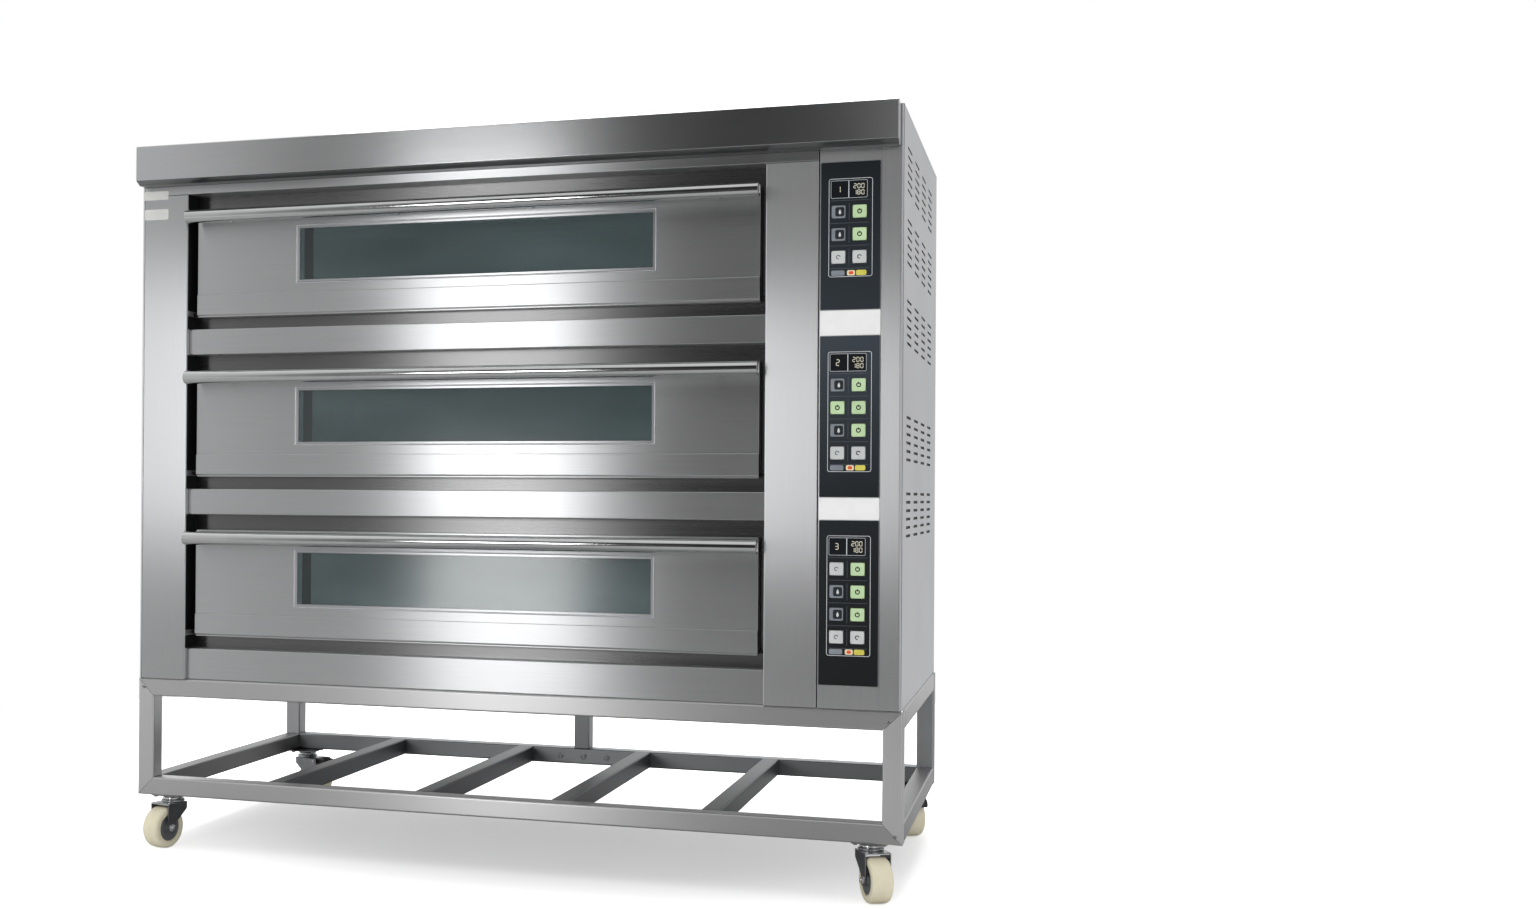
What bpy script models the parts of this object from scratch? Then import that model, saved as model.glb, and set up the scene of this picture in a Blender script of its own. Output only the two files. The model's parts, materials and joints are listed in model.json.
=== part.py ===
"""Three-deck electric bakery oven on a wheeled tube stand.

Frame: +X across the front (longest extent), the front faces -Y, +Z up.  The origin is at the
middle of the footprint on the floor.  All lengths are in metres.
"""

import math

import bmesh
import bpy
from mathutils import Matrix, Vector

# ---------------------------------------------------------------- driving dimensions

FIT_GAP = 0.0003
SHEET = 0.0015

TOTAL_HEIGHT = 1.650
BODY_HALF_WIDTH = 0.886
BODY_DEPTH = 0.840
HOOD_NOSE = 0.043
HOOD_TAIL = 0.015
HOOD_LIP = (0.016, 0.0095)
HOOD_FLANGE = 0.014

FRONT = -(HOOD_NOSE + BODY_DEPTH + HOOD_TAIL) / 2 + HOOD_NOSE
BACK = FRONT + BODY_DEPTH

STAND_HALF_WIDTH = 0.890
STAND_INSET = 0.004
STAND_TOP = 0.400
STAND_FOOT = 0.124
TUBE = 0.042
TUBE_WALL = 0.002
CROSS_RAILS_X = (-0.548, -0.180, 0.143, 0.481)
REAR_POST_X = -0.024
DRAIN_X = 0.30
DRAIN_RADIUS = 0.004
CASTOR_PLATE_HALF = 0.038
CASTOR_PLATE_DROP = 0.003

BODY_BOTTOM = STAND_TOP + FIT_GAP
BODY_TOP = 1.560
PANEL_DEPTH = 0.006
INNER_HALF_WIDTH = BODY_HALF_WIDTH - PANEL_DEPTH - FIT_GAP
FRAME_DEPTH = 0.055
RECESS = 0.012
FRAME_RIGHT = 0.7118
COLUMN_LEFT = 0.7142
BAY = (-0.7655, 0.6008)

DECKS = (1, 2, 3)
DECK_PITCH = 0.375
LOWEST_DOOR = 0.502
HEADER_BOTTOM = 1.5395
SILL_DROP = 0.029
RAIL_DROP = 0.089

DOOR = (-0.7505, 0.5858)
DOOR_HEIGHT = 0.250
DOOR_FACE = 0.022
DOOR_BACK = 0.050
DOOR_SKIN = 0.0015
STUB_LENGTH = 0.0175
STRIP_HEIGHT = 0.053
STRIP_PROUD = 0.003
WINDOW = (-0.4870, 0.3520)
WINDOW_Z = (0.081, 0.200)
PANE_MARGIN = 0.012
PANE_THICKNESS = 0.006
PIVOT_DEPTH = 0.034
PIVOT_RISE = 0.008
PIVOT_RADIUS = 0.004

HANDLE = (-0.757, 0.590)
HANDLE_RISE = 0.231
HANDLE_RADIUS = 0.0155
HANDLE_WALL = 0.0015
HANDLE_CAP = 0.002
WEEP_RADIUS = 0.002
HANDLE_REACH = 0.042
HANDLE_POSTS = (-0.66, -0.24, 0.08, 0.50)
POST_RADIUS = 0.007

CHAMBER = (-0.7323, 0.5677)
CHAMBER_DEPTH = 0.680
MOUTH_Z = (0.030, 0.226)
LINER_Z = (0.004, 0.252)
HEARTH_THICKNESS = 0.008
HEARTH_RIB = 0.004
ROD_RADIUS = 0.004
ROD_PASSES = 4
ROD_BEND = 0.030
ROD_INSET = 0.045
ROD_BACK = 0.0055
TERMINAL = (0.030, 0.050, 0.004)

OVERLAY = (0.7160, 0.8398)
OVERLAY_FRONT = 0.0018
OVERLAY_THICKNESS = 0.0015
OVERLAY_Z = {1: (1.2265, 1.5340), 2: (0.8380, 1.1730), 3: (0.4480, 0.7910)}
OUTLINE_TOP = {1: 1.4985, 2: 1.1395, 3: 0.7585}
KEY_ROWS = {1: 3, 2: 4, 3: 4}
KEY_COLUMNS = {"left": 0.7532, "right": 0.7966}
KEY_FIRST_DROP = 0.0685
KEY_PITCH = 0.047
KEY_SIZE = (0.0285, 0.0265)
KEY_PROUD = 0.0022
KEY_FLANGE = 0.0015
KEY_CLEARANCE = 0.0005

VENT_ROWS = 6
VENT_PITCH = 0.0178
VENT_GROUPS_Z = (1.530, 1.378, 1.208, 0.963, 0.802)
VENT_COLUMNS_Y = (0.130, 0.300, 0.470, 0.640)
VENT_SIZE = (0.095, 0.006)

WHEEL_RADIUS = 0.048
WHEEL_WIDTH = 0.046
WHEEL_BORE = 0.0054
WHEEL_STEPS = 28
AXLE_RADIUS = 0.005
TRAIL = 0.033
CASTOR_X = 0.821
CASTOR_INSET = 0.050
CASTORS = {
    "front_left": (-1, -1, -14),
    "front_right": (1, -1, 26),
    "rear_left": (-1, 1, 70),
    "rear_right": (1, 1, 28),
}
BRAKED = ("rear_left", "rear_right")
FORK_CLEARANCE = 0.003
FORK_SHEET = 0.0025
FOOT_RADIUS = 0.013
CROWN_TRAIL = (-0.018, 0.044)
BRAKED_NOSE = 0.060
CROWN_Z = (0.090, 0.1010, 0.1040)
RACE_RADIUS = 0.027
RACE_TOP = 0.110
COLLAR_RADIUS = 0.020
AXLE_OVERHANG = 0.007
NUT_RADIUS = 0.0085
NUT_HEIGHT = 0.0045
HUB_OUTER = 0.031
HUB_INNER = 0.011
HUB_DISH = 0.005
TREAD_SHOULDER = 0.007
BRAKE_PIVOT = (0.052, 0.0985)
BRAKE_PIN = 0.0025
BRAKE_PIN_PLAY = 0.0004
PADDLE_WIDTH = 0.040
PADDLE_BOSS = 0.0055
PADDLE_TIP = (
    (0.0100, -0.0052),
    (0.0385, -0.0190),
    (0.0430, -0.0190),
    (0.0455, -0.0150),
    (0.0420, -0.0030),
    (0.0300, 0.0040),
    (0.0140, 0.0055),
)

STEEL = ((0.62, 0.63, 0.64), 0.34, 1.0)
DARK_STEEL = ((0.30, 0.31, 0.32), 0.45, 1.0)
ZINC = ((0.70, 0.71, 0.72), 0.25, 1.0)
PANEL_BLACK = ((0.012, 0.018, 0.026), 0.35, 0.0)
GLASS = ((0.05, 0.09, 0.10), 0.08, 0.0)
NYLON = ((0.70, 0.64, 0.44), 0.50, 0.0)
BLACK = ((0.012, 0.012, 0.013), 0.45, 0.0)
ELEMENT = ((0.10, 0.10, 0.11), 0.55, 1.0)
GREEN = ((0.46, 0.66, 0.33), 0.45, 0.0)
PALE = ((0.62, 0.62, 0.62), 0.45, 0.0)
GREY = ((0.20, 0.21, 0.23), 0.45, 0.0)
KEY_COLOURS = {
    1: {"left": (GREY, GREY, PALE), "right": (GREEN, GREEN, PALE)},
    2: {"left": (GREY, GREEN, GREY, PALE), "right": (GREEN, GREEN, GREEN, PALE)},
    3: {"left": (PALE, GREY, GREY, PALE), "right": (GREEN, GREEN, GREEN, PALE)},
}


def door_bottom(deck):
    """Height of the lower edge of a deck's door; deck 1 is the top one."""
    return LOWEST_DOOR + (DECKS[-1] - deck) * DECK_PITCH


# ---------------------------------------------------------------- scene helpers


def clear_scene():
    for item in list(bpy.data.objects):
        bpy.data.objects.remove(item, do_unlink=True)


def new_collection(name, hidden=False):
    collection = bpy.data.collections.new(name)
    bpy.context.scene.collection.children.link(collection)
    collection.hide_render = hidden
    return collection


def paint(item, look):
    colour, roughness, metallic = look
    material = bpy.data.materials.new(item.name)
    material.use_nodes = True
    shader = material.node_tree.nodes["Principled BSDF"]
    shader.inputs["Base Color"].default_value = (*colour, 1.0)
    shader.inputs["Roughness"].default_value = roughness
    shader.inputs["Metallic"].default_value = metallic
    item.data.materials.clear()
    item.data.materials.append(material)
    return item


def mesh_object(name, mesh, collection):
    item = bpy.data.objects.new(name, mesh)
    collection.objects.link(item)
    return item


def piece(name, mesh, look):
    """A named part of the oven."""
    return paint(mesh_object(name, mesh, PARTS), look)


def tool(name, mesh):
    """A solid that only cuts or is joined to a part."""
    item = mesh_object(name, mesh, CUTTERS)
    item.hide_render = True
    item.display_type = "WIRE"
    return item


def mesh_from(bm, name):
    mesh = bpy.data.meshes.new(name)
    bmesh.ops.recalc_face_normals(bm, faces=bm.faces)
    bm.to_mesh(mesh)
    bm.free()
    return mesh


def box_mesh(*boxes):
    """Mesh of one or more boxes, each given by its low and high corner."""
    bm = bmesh.new()
    for low, high in boxes:
        size = [h - l for l, h in zip(low, high)]
        middle = [(h + l) / 2 for l, h in zip(low, high)]
        place = Matrix.Translation(middle) @ Matrix.Diagonal((*size, 1.0))
        bmesh.ops.create_cube(bm, size=1.0, matrix=place)
    return mesh_from(bm, "box")


def cylinder_mesh(start, end, radius, sides=16):
    start, end = Vector(start), Vector(end)
    turn = (end - start).to_track_quat("Z", "Y").to_matrix().to_4x4()
    bm = bmesh.new()
    bmesh.ops.create_cone(
        bm,
        cap_ends=True,
        segments=sides,
        radius1=radius,
        radius2=radius,
        depth=(end - start).length,
        matrix=Matrix.Translation((start + end) / 2) @ turn,
    )
    return mesh_from(bm, "cylinder")


def outline_mesh(points, thickness, place):
    """Flat plate of an outline drawn in its own XY plane, centred on that plane."""
    curve = bpy.data.curves.new("outline", "CURVE")
    curve.dimensions = "2D"
    curve.fill_mode = "BOTH"
    curve.extrude = thickness / 2
    spline = curve.splines.new("POLY")
    spline.points.add(len(points) - 1)
    for spot, (x, y) in zip(spline.points, points):
        spot.co = (x, y, 0.0, 1.0)
    spline.use_cyclic_u = True
    return solid_from_curve(curve, place)


def tube_mesh(points, radius):
    """Round bar along a path, with flat ends."""
    curve = bpy.data.curves.new("bar", "CURVE")
    curve.dimensions = "3D"
    curve.bevel_depth = radius
    curve.bevel_resolution = 2
    curve.use_fill_caps = True
    spline = curve.splines.new("POLY")
    spline.points.add(len(points) - 1)
    for spot, co in zip(spline.points, points):
        spot.co = (*co, 1.0)
    return solid_from_curve(curve, Matrix.Identity(4))


def solid_from_curve(curve, place):
    """Welded, closed mesh of a curve, moved into place."""
    drawn = mesh_object("drawn", curve, CUTTERS)
    graph = bpy.context.evaluated_depsgraph_get()
    mesh = bpy.data.meshes.new_from_object(drawn.evaluated_get(graph))
    bpy.data.objects.remove(drawn, do_unlink=True)
    bm = bmesh.new()
    bm.from_mesh(mesh)
    bmesh.ops.remove_doubles(bm, verts=bm.verts, dist=0.00001)
    bmesh.ops.transform(bm, matrix=place, verts=bm.verts)
    return mesh_from(bm, "solid")


def boolean(item, mesh, operation):
    step = item.modifiers.new(operation.lower(), "BOOLEAN")
    step.operation = operation
    step.solver = "EXACT"
    step.object = tool(f"{item.name}_{operation.lower()}_{len(item.modifiers)}", mesh)
    step.object.parent = item.parent
    return item


def cut(item, *meshes):
    for mesh in meshes:
        boolean(item, mesh, "DIFFERENCE")
    return item


def join(item, *meshes):
    for mesh in meshes:
        boolean(item, mesh, "UNION")
    return item


def finished_mesh(item):
    """The mesh that an object's modifiers leave; the object itself is removed."""
    graph = bpy.context.evaluated_depsgraph_get()
    mesh = bpy.data.meshes.new_from_object(item.evaluated_get(graph))
    bpy.data.objects.remove(item, do_unlink=True)
    return mesh


def smooth(item, angle=35.0):
    item.data.shade_smooth()
    item.data.set_sharp_from_angle(angle=math.radians(angle))
    return item


def pivot(name, location, turn=0.0, parent=None):
    """Empty that carries a moving piece; its origin is on the joint's axis."""
    empty = bpy.data.objects.new(name, None)
    empty.location = location
    empty.rotation_euler = (0.0, 0.0, turn)
    empty.parent = parent
    CUTTERS.objects.link(empty)
    return empty


# ---------------------------------------------------------------- stand


def frame_tubes(shrink):
    """Boxes of the welded tube frame, or of its hollow when they are shrunk by the wall."""
    side = STAND_HALF_WIDTH - shrink
    inner_side = STAND_HALF_WIDTH - TUBE + shrink
    near, far = FRONT + STAND_INSET + shrink, BACK - STAND_INSET - shrink
    near_in = FRONT + STAND_INSET + TUBE - shrink
    far_in = BACK - STAND_INSET - TUBE + shrink
    low, high = STAND_FOOT + shrink, STAND_TOP - shrink
    low_in, high_in = STAND_FOOT + TUBE - shrink, STAND_TOP - TUBE + shrink
    boxes = []
    for bottom, top in ((low, low_in), (high_in, high)):
        boxes.append(((-side, near, bottom), (side, near_in, top)))
        boxes.append(((-side, far_in, bottom), (side, far, top)))
        for sign in (-1, 1):
            x = sorted((sign * side, sign * inner_side))
            boxes.append(((x[0], near, bottom), (x[1], far, top)))
    for sign in (-1, 1):
        x = sorted((sign * side, sign * inner_side))
        boxes.append(((x[0], near, low), (x[1], near_in, high)))
        boxes.append(((x[0], far_in, low), (x[1], far, high)))
    half = TUBE / 2 - shrink
    for x in CROSS_RAILS_X:
        boxes.append(((x - half, near, low), (x + half, far, low_in)))
    boxes.append(((REAR_POST_X - half, far_in, low), (REAR_POST_X + half, far, high)))
    return boxes


def castor_spot(place):
    side, end, turn = CASTORS[place]
    y = (BACK - CASTOR_INSET) if end > 0 else (FRONT + CASTOR_INSET)
    return side * CASTOR_X, y, math.radians(turn)


def build_stand():
    outer = frame_tubes(0.0)
    inner = frame_tubes(TUBE_WALL)
    stand = piece("stand_frame", box_mesh(outer[0]), STEEL)
    join(stand, *(box_mesh(b) for b in outer[1:]))
    hollow = tool("stand_hollow", box_mesh(inner[0]))
    join(hollow, *(box_mesh(b) for b in inner[1:]))
    cut(stand, finished_mesh(hollow))
    for place in CASTORS:
        x, y, _ = castor_spot(place)
        half = CASTOR_PLATE_HALF
        plate = ((x - half, y - half, STAND_FOOT - CASTOR_PLATE_DROP),
                 (x + half, y + half, STAND_FOOT + TUBE_WALL / 2))
        join(stand, box_mesh(plate))
    for sign in (-1, 1):
        for y in (FRONT + STAND_INSET + TUBE / 2, BACK - STAND_INSET - TUBE / 2):
            x = sign * DRAIN_X
            drain = cylinder_mesh((x, y, STAND_FOOT - 0.01), (x, y, STAND_FOOT + 0.01), DRAIN_RADIUS, 8)
            cut(stand, drain)
    return stand


# ---------------------------------------------------------------- castors


def crown_reach(braked):
    """Back and nose of a fork's crown along its trail; a braked fork reaches out to the pedal's pin."""
    back, nose = CROWN_TRAIL
    return back, (BRAKED_NOSE if braked else nose)


def leg_outline(braked):
    """Side plate of a fork in its trail and height plane, round at the axle."""
    arc = [math.radians(a) for a in range(200, 341, 28)]
    foot = [(TRAIL + FOOT_RADIUS * math.cos(a), WHEEL_RADIUS + FOOT_RADIUS * math.sin(a)) for a in arc]
    back, nose = crown_reach(braked)
    shoulder, _, top = CROWN_Z
    return foot + [(nose, shoulder), (nose, top), (back, top), (back, shoulder)]


def trail_plane(offset):
    """Places an outline's x along the trail (local -Y) and its y along +Z."""
    return Matrix(((0, 0, 1, offset), (-1, 0, 0, 0), (0, 1, 0, 0), (0, 0, 0, 1)))


def across(y, z, start, end, radius, sides):
    """Cylinder along a fork's local X axis."""
    return cylinder_mesh((start, y, z), (end, y, z), radius, sides)


def fork_mesh(braked):
    inner = WHEEL_WIDTH / 2 + FORK_CLEARANCE
    outer = inner + FORK_SHEET
    _, crown_low, crown_top = CROWN_Z
    back, nose = crown_reach(braked)
    fork = tool("fork_blank", box_mesh(((-outer, -nose, crown_low), (outer, -back, crown_top))))
    for side in (-1, 1):
        plate = outline_mesh(leg_outline(braked), FORK_SHEET, trail_plane(side * (inner + outer) / 2))
        join(fork, plate)
    join(fork, cylinder_mesh((0, 0, crown_low + 0.001), (0, 0, RACE_TOP), RACE_RADIUS, 24))
    collar_top = STAND_FOOT - CASTOR_PLATE_DROP - FIT_GAP
    join(fork, cylinder_mesh((0, 0, RACE_TOP - 0.001), (0, 0, collar_top), COLLAR_RADIUS, 24))
    reach = outer + AXLE_OVERHANG
    join(fork, across(-TRAIL, WHEEL_RADIUS, -reach, reach, AXLE_RADIUS, 12))
    for side in (-1, 1):
        start, end = sorted((side * (outer - 0.0005), side * (outer + NUT_HEIGHT)))
        join(fork, across(-TRAIL, WHEEL_RADIUS, start, end, NUT_RADIUS, 6))
    if braked:
        trail, z = BRAKE_PIVOT
        slot = ((-inner, -nose - 0.010, crown_low - 0.020), (inner, -trail + 0.008, RACE_TOP))
        cut(fork, box_mesh(slot))
        cut(fork, across(-trail, z, -outer - 0.01, outer + 0.01, BRAKE_PIN + BRAKE_PIN_PLAY, 12))
    return finished_mesh(fork)


def wheel_profile():
    """Half section of a wheel: (radius, across) from the bore round the tread and back."""
    half = WHEEL_WIDTH / 2
    shoulder = TREAD_SHOULDER
    arc = [math.radians(a) for a in (0, 30, 60, 90)]
    left = [(WHEEL_RADIUS - shoulder + shoulder * math.sin(a), -half + shoulder - shoulder * math.cos(a))
            for a in arc]
    right = [(r, -across) for r, across in reversed(left)]
    dish, boss = half - HUB_DISH, half + 0.001
    face = [(HUB_OUTER, half), (HUB_OUTER - 0.002, dish), (HUB_INNER, dish), (HUB_INNER, boss),
            (WHEEL_BORE, boss)]
    return [(r, -a) for r, a in reversed(face)] + left + right + face


def wheel_mesh():
    """The profile turned about the local X axis, with a vertex at its lowest point."""
    bm = bmesh.new()
    profile = [bm.verts.new((across, 0.0, -radius)) for radius, across in wheel_profile()]
    pairs = list(zip(profile, profile[1:] + profile[:1]))
    edges = [bm.edges.new(pair) for pair in pairs]
    bmesh.ops.spin(
        bm,
        geom=profile + edges,
        cent=(0, 0, 0),
        axis=(1, 0, 0),
        angle=2 * math.pi,
        steps=WHEEL_STEPS,
        use_merge=True,
    )
    bmesh.ops.remove_doubles(bm, verts=bm.verts, dist=0.00001)
    return mesh_from(bm, "wheel")


def pedal_mesh():
    """Foot lever of a braked castor: a paddle on a cross pin, about its pin's axis."""
    arc = [math.radians(a) for a in range(90, 271, 30)]
    boss = [(PADDLE_BOSS * math.cos(a), PADDLE_BOSS * math.sin(a)) for a in arc]
    lever = tool("lever", outline_mesh(boss + list(PADDLE_TIP), PADDLE_WIDTH, trail_plane(0.0)))
    reach = WHEEL_WIDTH / 2 + FORK_CLEARANCE + FORK_SHEET + 0.002
    join(lever, across(0, 0, -reach, reach, BRAKE_PIN, 12))
    return finished_mesh(lever)


def build_castors():
    forks = {braked: fork_mesh(braked) for braked in (False, True)}
    wheel = wheel_mesh()
    pedal = pedal_mesh()
    for place in CASTORS:
        x, y, turn = castor_spot(place)
        swivel = pivot(f"swivel_{place}", (x, y, 0.0), turn)
        fork = piece(f"castor_fork_{place}", forks[place in BRAKED].copy(), ZINC)
        fork.parent = swivel
        spin = pivot(f"spin_{place}", (0.0, -TRAIL, WHEEL_RADIUS), parent=swivel)
        roller = smooth(piece(f"castor_wheel_{place}", wheel.copy(), NYLON))
        roller.parent = spin
        if place in BRAKED:
            hinge = pivot(f"pedal_hinge_{place}", (0.0, -BRAKE_PIVOT[0], BRAKE_PIVOT[1]), parent=swivel)
            lever = piece(f"brake_pedal_{place}", pedal.copy(), BLACK)
            lever.parent = hinge


# ---------------------------------------------------------------- cabinet


def build_side_panel(name, side):
    """Shallow folded tray that closes one side; its open face looks inward."""
    x = sorted((side * BODY_HALF_WIDTH, side * (BODY_HALF_WIDTH - PANEL_DEPTH)))
    low, high = (x[0], FRONT, BODY_BOTTOM), (x[1], BACK, TOTAL_HEIGHT - 0.0015)
    panel = piece(name, box_mesh((low, high)), STEEL)
    inside = sorted((side * (BODY_HALF_WIDTH - SHEET), side * (BODY_HALF_WIDTH - PANEL_DEPTH - 0.01)))
    cut(panel, box_mesh(((inside[0], FRONT + SHEET, BODY_BOTTOM + SHEET),
                         (inside[1], BACK - SHEET, high[2] - SHEET))))
    return panel


def vent_boxes():
    """Slits of the right panel: five groups of six rows in four columns."""
    length, height = VENT_SIZE
    boxes = []
    for middle in VENT_GROUPS_Z:
        for row in range(VENT_ROWS):
            z = middle + (row - (VENT_ROWS - 1) / 2) * VENT_PITCH
            for column in VENT_COLUMNS_Y:
                y = FRONT + column
                low = (BODY_HALF_WIDTH - 0.005, y - length / 2, z - height / 2)
                boxes.append((low, (BODY_HALF_WIDTH + 0.005, y + length / 2, z + height / 2)))
    return boxes


def build_rear_base_panel():
    """One bent sheet that closes the back and the underside."""
    half = INNER_HALF_WIDTH
    near = FRONT + FRAME_DEPTH + FIT_GAP
    outer = ((-half, near, BODY_BOTTOM), (half, BACK, BODY_TOP))
    panel = piece("rear_base_panel", box_mesh(outer), STEEL)
    inner = ((-half - 0.01, near - 0.01, BODY_BOTTOM + SHEET), (half + 0.01, BACK - SHEET, BODY_TOP + 0.01))
    return cut(panel, box_mesh(inner))


def build_hood():
    """Cover cap with a deep front nose; its underside is open over the cabinet."""
    nose, tail = FRONT - HOOD_NOSE, BACK + HOOD_TAIL
    low = BODY_TOP + FIT_GAP
    run, rise = HOOD_LIP
    top = TOTAL_HEIGHT
    outline = [(nose, low + rise), (nose, top), (tail, top), (tail, low), (nose + run, low)]
    width = 2 * INNER_HALF_WIDTH
    section = Matrix(((0, 0, 1, 0), (1, 0, 0, 0), (0, 1, 0, 0), (0, 0, 0, 1)))
    hood = piece("hood", outline_mesh(outline, width, section), STEEL)
    s = SHEET
    inset = 0.4 * s  # a fold of the lip's angle keeps the sheet's thickness with this step
    hollow = [(nose + s, low + rise + inset), (nose + s, top - s), (tail - s, top - s),
              (tail - s, low + s), (nose + run + inset, low + s)]
    cut(hood, outline_mesh(hollow, width - 2 * s, section))
    half, flange = INNER_HALF_WIDTH - HOOD_FLANGE, HOOD_FLANGE
    mouth = ((-half, FRONT + flange, low - 0.01), (half, BACK - flange, low + 0.01))
    return cut(hood, box_mesh(mouth))


def rail_spans():
    """Heights of the deck rails from top to bottom: (bottom, top)."""
    spans = [(door_bottom(d) - RAIL_DROP, door_bottom(d) - SILL_DROP) for d in DECKS[:-1]]
    return spans + [(BODY_BOTTOM, door_bottom(DECKS[-1]) - SILL_DROP)]


def bay_spans():
    """Heights of the door bays between the rails: (bottom, top)."""
    tops = [HEADER_BOTTOM] + [bottom for bottom, _ in rail_spans()[:-1]]
    return [(top, ceiling) for (_, top), ceiling in zip(rail_spans(), tops)]


def build_front_frame():
    """Pillars, header and deck rails: one pressed and welded frame, hollow from the back."""
    back = FRONT + FRAME_DEPTH
    behind = back + 0.01
    s = SHEET
    frame = piece(
        "front_frame",
        box_mesh(((-INNER_HALF_WIDTH, FRONT, BODY_BOTTOM), (FRAME_RIGHT, back, BODY_TOP))),
        STEEL,
    )
    left, right = BAY
    recess = ((left, FRONT - 0.01, BODY_BOTTOM - 0.01), (right, FRONT + RECESS, HEADER_BOTTOM + 0.001))
    cut(frame, box_mesh(recess))
    for bottom, top in bay_spans():
        cut(frame, box_mesh(((left, FRONT - 0.005, bottom), (right, back - s, top))))
    for bottom, top in rail_spans():
        cut(frame, box_mesh(((left + s, FRONT + RECESS + s, bottom + s), (right - s, behind, top - s))))
    cut(frame, box_mesh(((left + s, FRONT + s, HEADER_BOTTOM + s), (right - s, behind, BODY_TOP - s))))
    pillar = ((-INNER_HALF_WIDTH + s, FRONT + s, BODY_BOTTOM + s), (left - s, behind, BODY_TOP - s))
    cut(frame, box_mesh(pillar))
    cut(frame, box_mesh(((right + s, FRONT + s, BODY_BOTTOM + s), (FRAME_RIGHT - s, behind, BODY_TOP - s))))
    for deck in DECKS:
        z = door_bottom(deck)
        mouth = ((CHAMBER[0], FRONT + 0.04, z + MOUTH_Z[0]), (CHAMBER[1], behind, z + MOUTH_Z[1]))
        cut(frame, box_mesh(mouth))
        for x in (left, right):
            y, height = FRONT + PIVOT_DEPTH, z + PIVOT_RISE
            hole = cylinder_mesh((x - 0.004, y, height), (x + 0.004, y, height), PIVOT_RADIUS + 0.0006)
            cut(frame, hole)
    return frame


def key_spots(deck):
    """Centres of a deck's keys: (side, row, x, z)."""
    for row in range(KEY_ROWS[deck]):
        z = OUTLINE_TOP[deck] - KEY_FIRST_DROP - row * KEY_PITCH
        for side, x in KEY_COLUMNS.items():
            yield side, row + 1, x, z


def build_control_column():
    """Front cover of the electrical bay; open behind each key field."""
    back = FRONT + FRAME_DEPTH
    s = SHEET
    column = piece(
        "control_column",
        box_mesh(((COLUMN_LEFT, FRONT, BODY_BOTTOM), (INNER_HALF_WIDTH, back, BODY_TOP))),
        STEEL,
    )
    cut(column, box_mesh(((COLUMN_LEFT + s, FRONT + s, BODY_BOTTOM + s),
                          (INNER_HALF_WIDTH - s, back + 0.01, BODY_TOP - s))))
    for deck in DECKS:
        spots = list(key_spots(deck))
        xs = [x for _, _, x, _ in spots]
        zs = [z for _, _, _, z in spots]
        margin = KEY_SIZE[0] / 2 + 0.004
        low = (min(xs) - margin, FRONT - 0.01, min(zs) - margin)
        cut(column, box_mesh((low, (max(xs) + margin, FRONT + 0.01, max(zs) + margin))))
    return column


def build_overlay(deck):
    bottom, top = OVERLAY_Z[deck]
    front = FRONT - OVERLAY_FRONT
    name = f"control_overlay_{deck}"
    plate = piece(name, box_mesh(((OVERLAY[0], front, bottom), (OVERLAY[1], front + OVERLAY_THICKNESS, top))),
                  PANEL_BLACK)
    width, height = (size / 2 + KEY_CLEARANCE for size in KEY_SIZE)
    holes = [((x - width, front - 0.005, z - height), (x + width, front + 0.005, z + height))
             for _, _, x, z in key_spots(deck)]
    return cut(plate, box_mesh(*holes))


def key_mesh():
    """Stepped button about the middle of its front face: cap in front, wider flange behind."""
    front = KEY_PROUD + OVERLAY_THICKNESS + 2 * FIT_GAP
    bm = bmesh.new()
    width, height = KEY_SIZE
    flange = Matrix.Translation((0, front + 0.001, 0)) @ Matrix.Diagonal(
        (width + 2 * KEY_FLANGE, 0.002, height + 2 * KEY_FLANGE, 1.0))
    bmesh.ops.create_cube(bm, size=1.0, matrix=flange)
    face = min(bm.faces, key=lambda f: f.calc_center_median().y)
    bmesh.ops.inset_region(bm, faces=[face], thickness=KEY_FLANGE)
    made = bmesh.ops.extrude_face_region(bm, geom=[face])
    bmesh.ops.delete(bm, geom=[face], context="FACES_ONLY")
    rim = [v for v in made["geom"] if isinstance(v, bmesh.types.BMVert)]
    bmesh.ops.translate(bm, vec=(0, -front, 0), verts=rim)
    lip = [e for e in bm.edges if all(v in rim for v in e.verts)]
    bmesh.ops.bevel(bm, geom=lip, offset=0.0008, segments=1, affect="EDGES")
    return mesh_from(bm, "key")


def build_keys():
    mesh = key_mesh()
    for deck in DECKS:
        for side, row, x, z in key_spots(deck):
            look = KEY_COLOURS[deck][side][row - 1]
            key = piece(f"key_{deck}_{side}_{row}", mesh.copy(), look)
            key.location = (x, FRONT - OVERLAY_FRONT - KEY_PROUD, z)


# ---------------------------------------------------------------- doors and chambers


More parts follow.
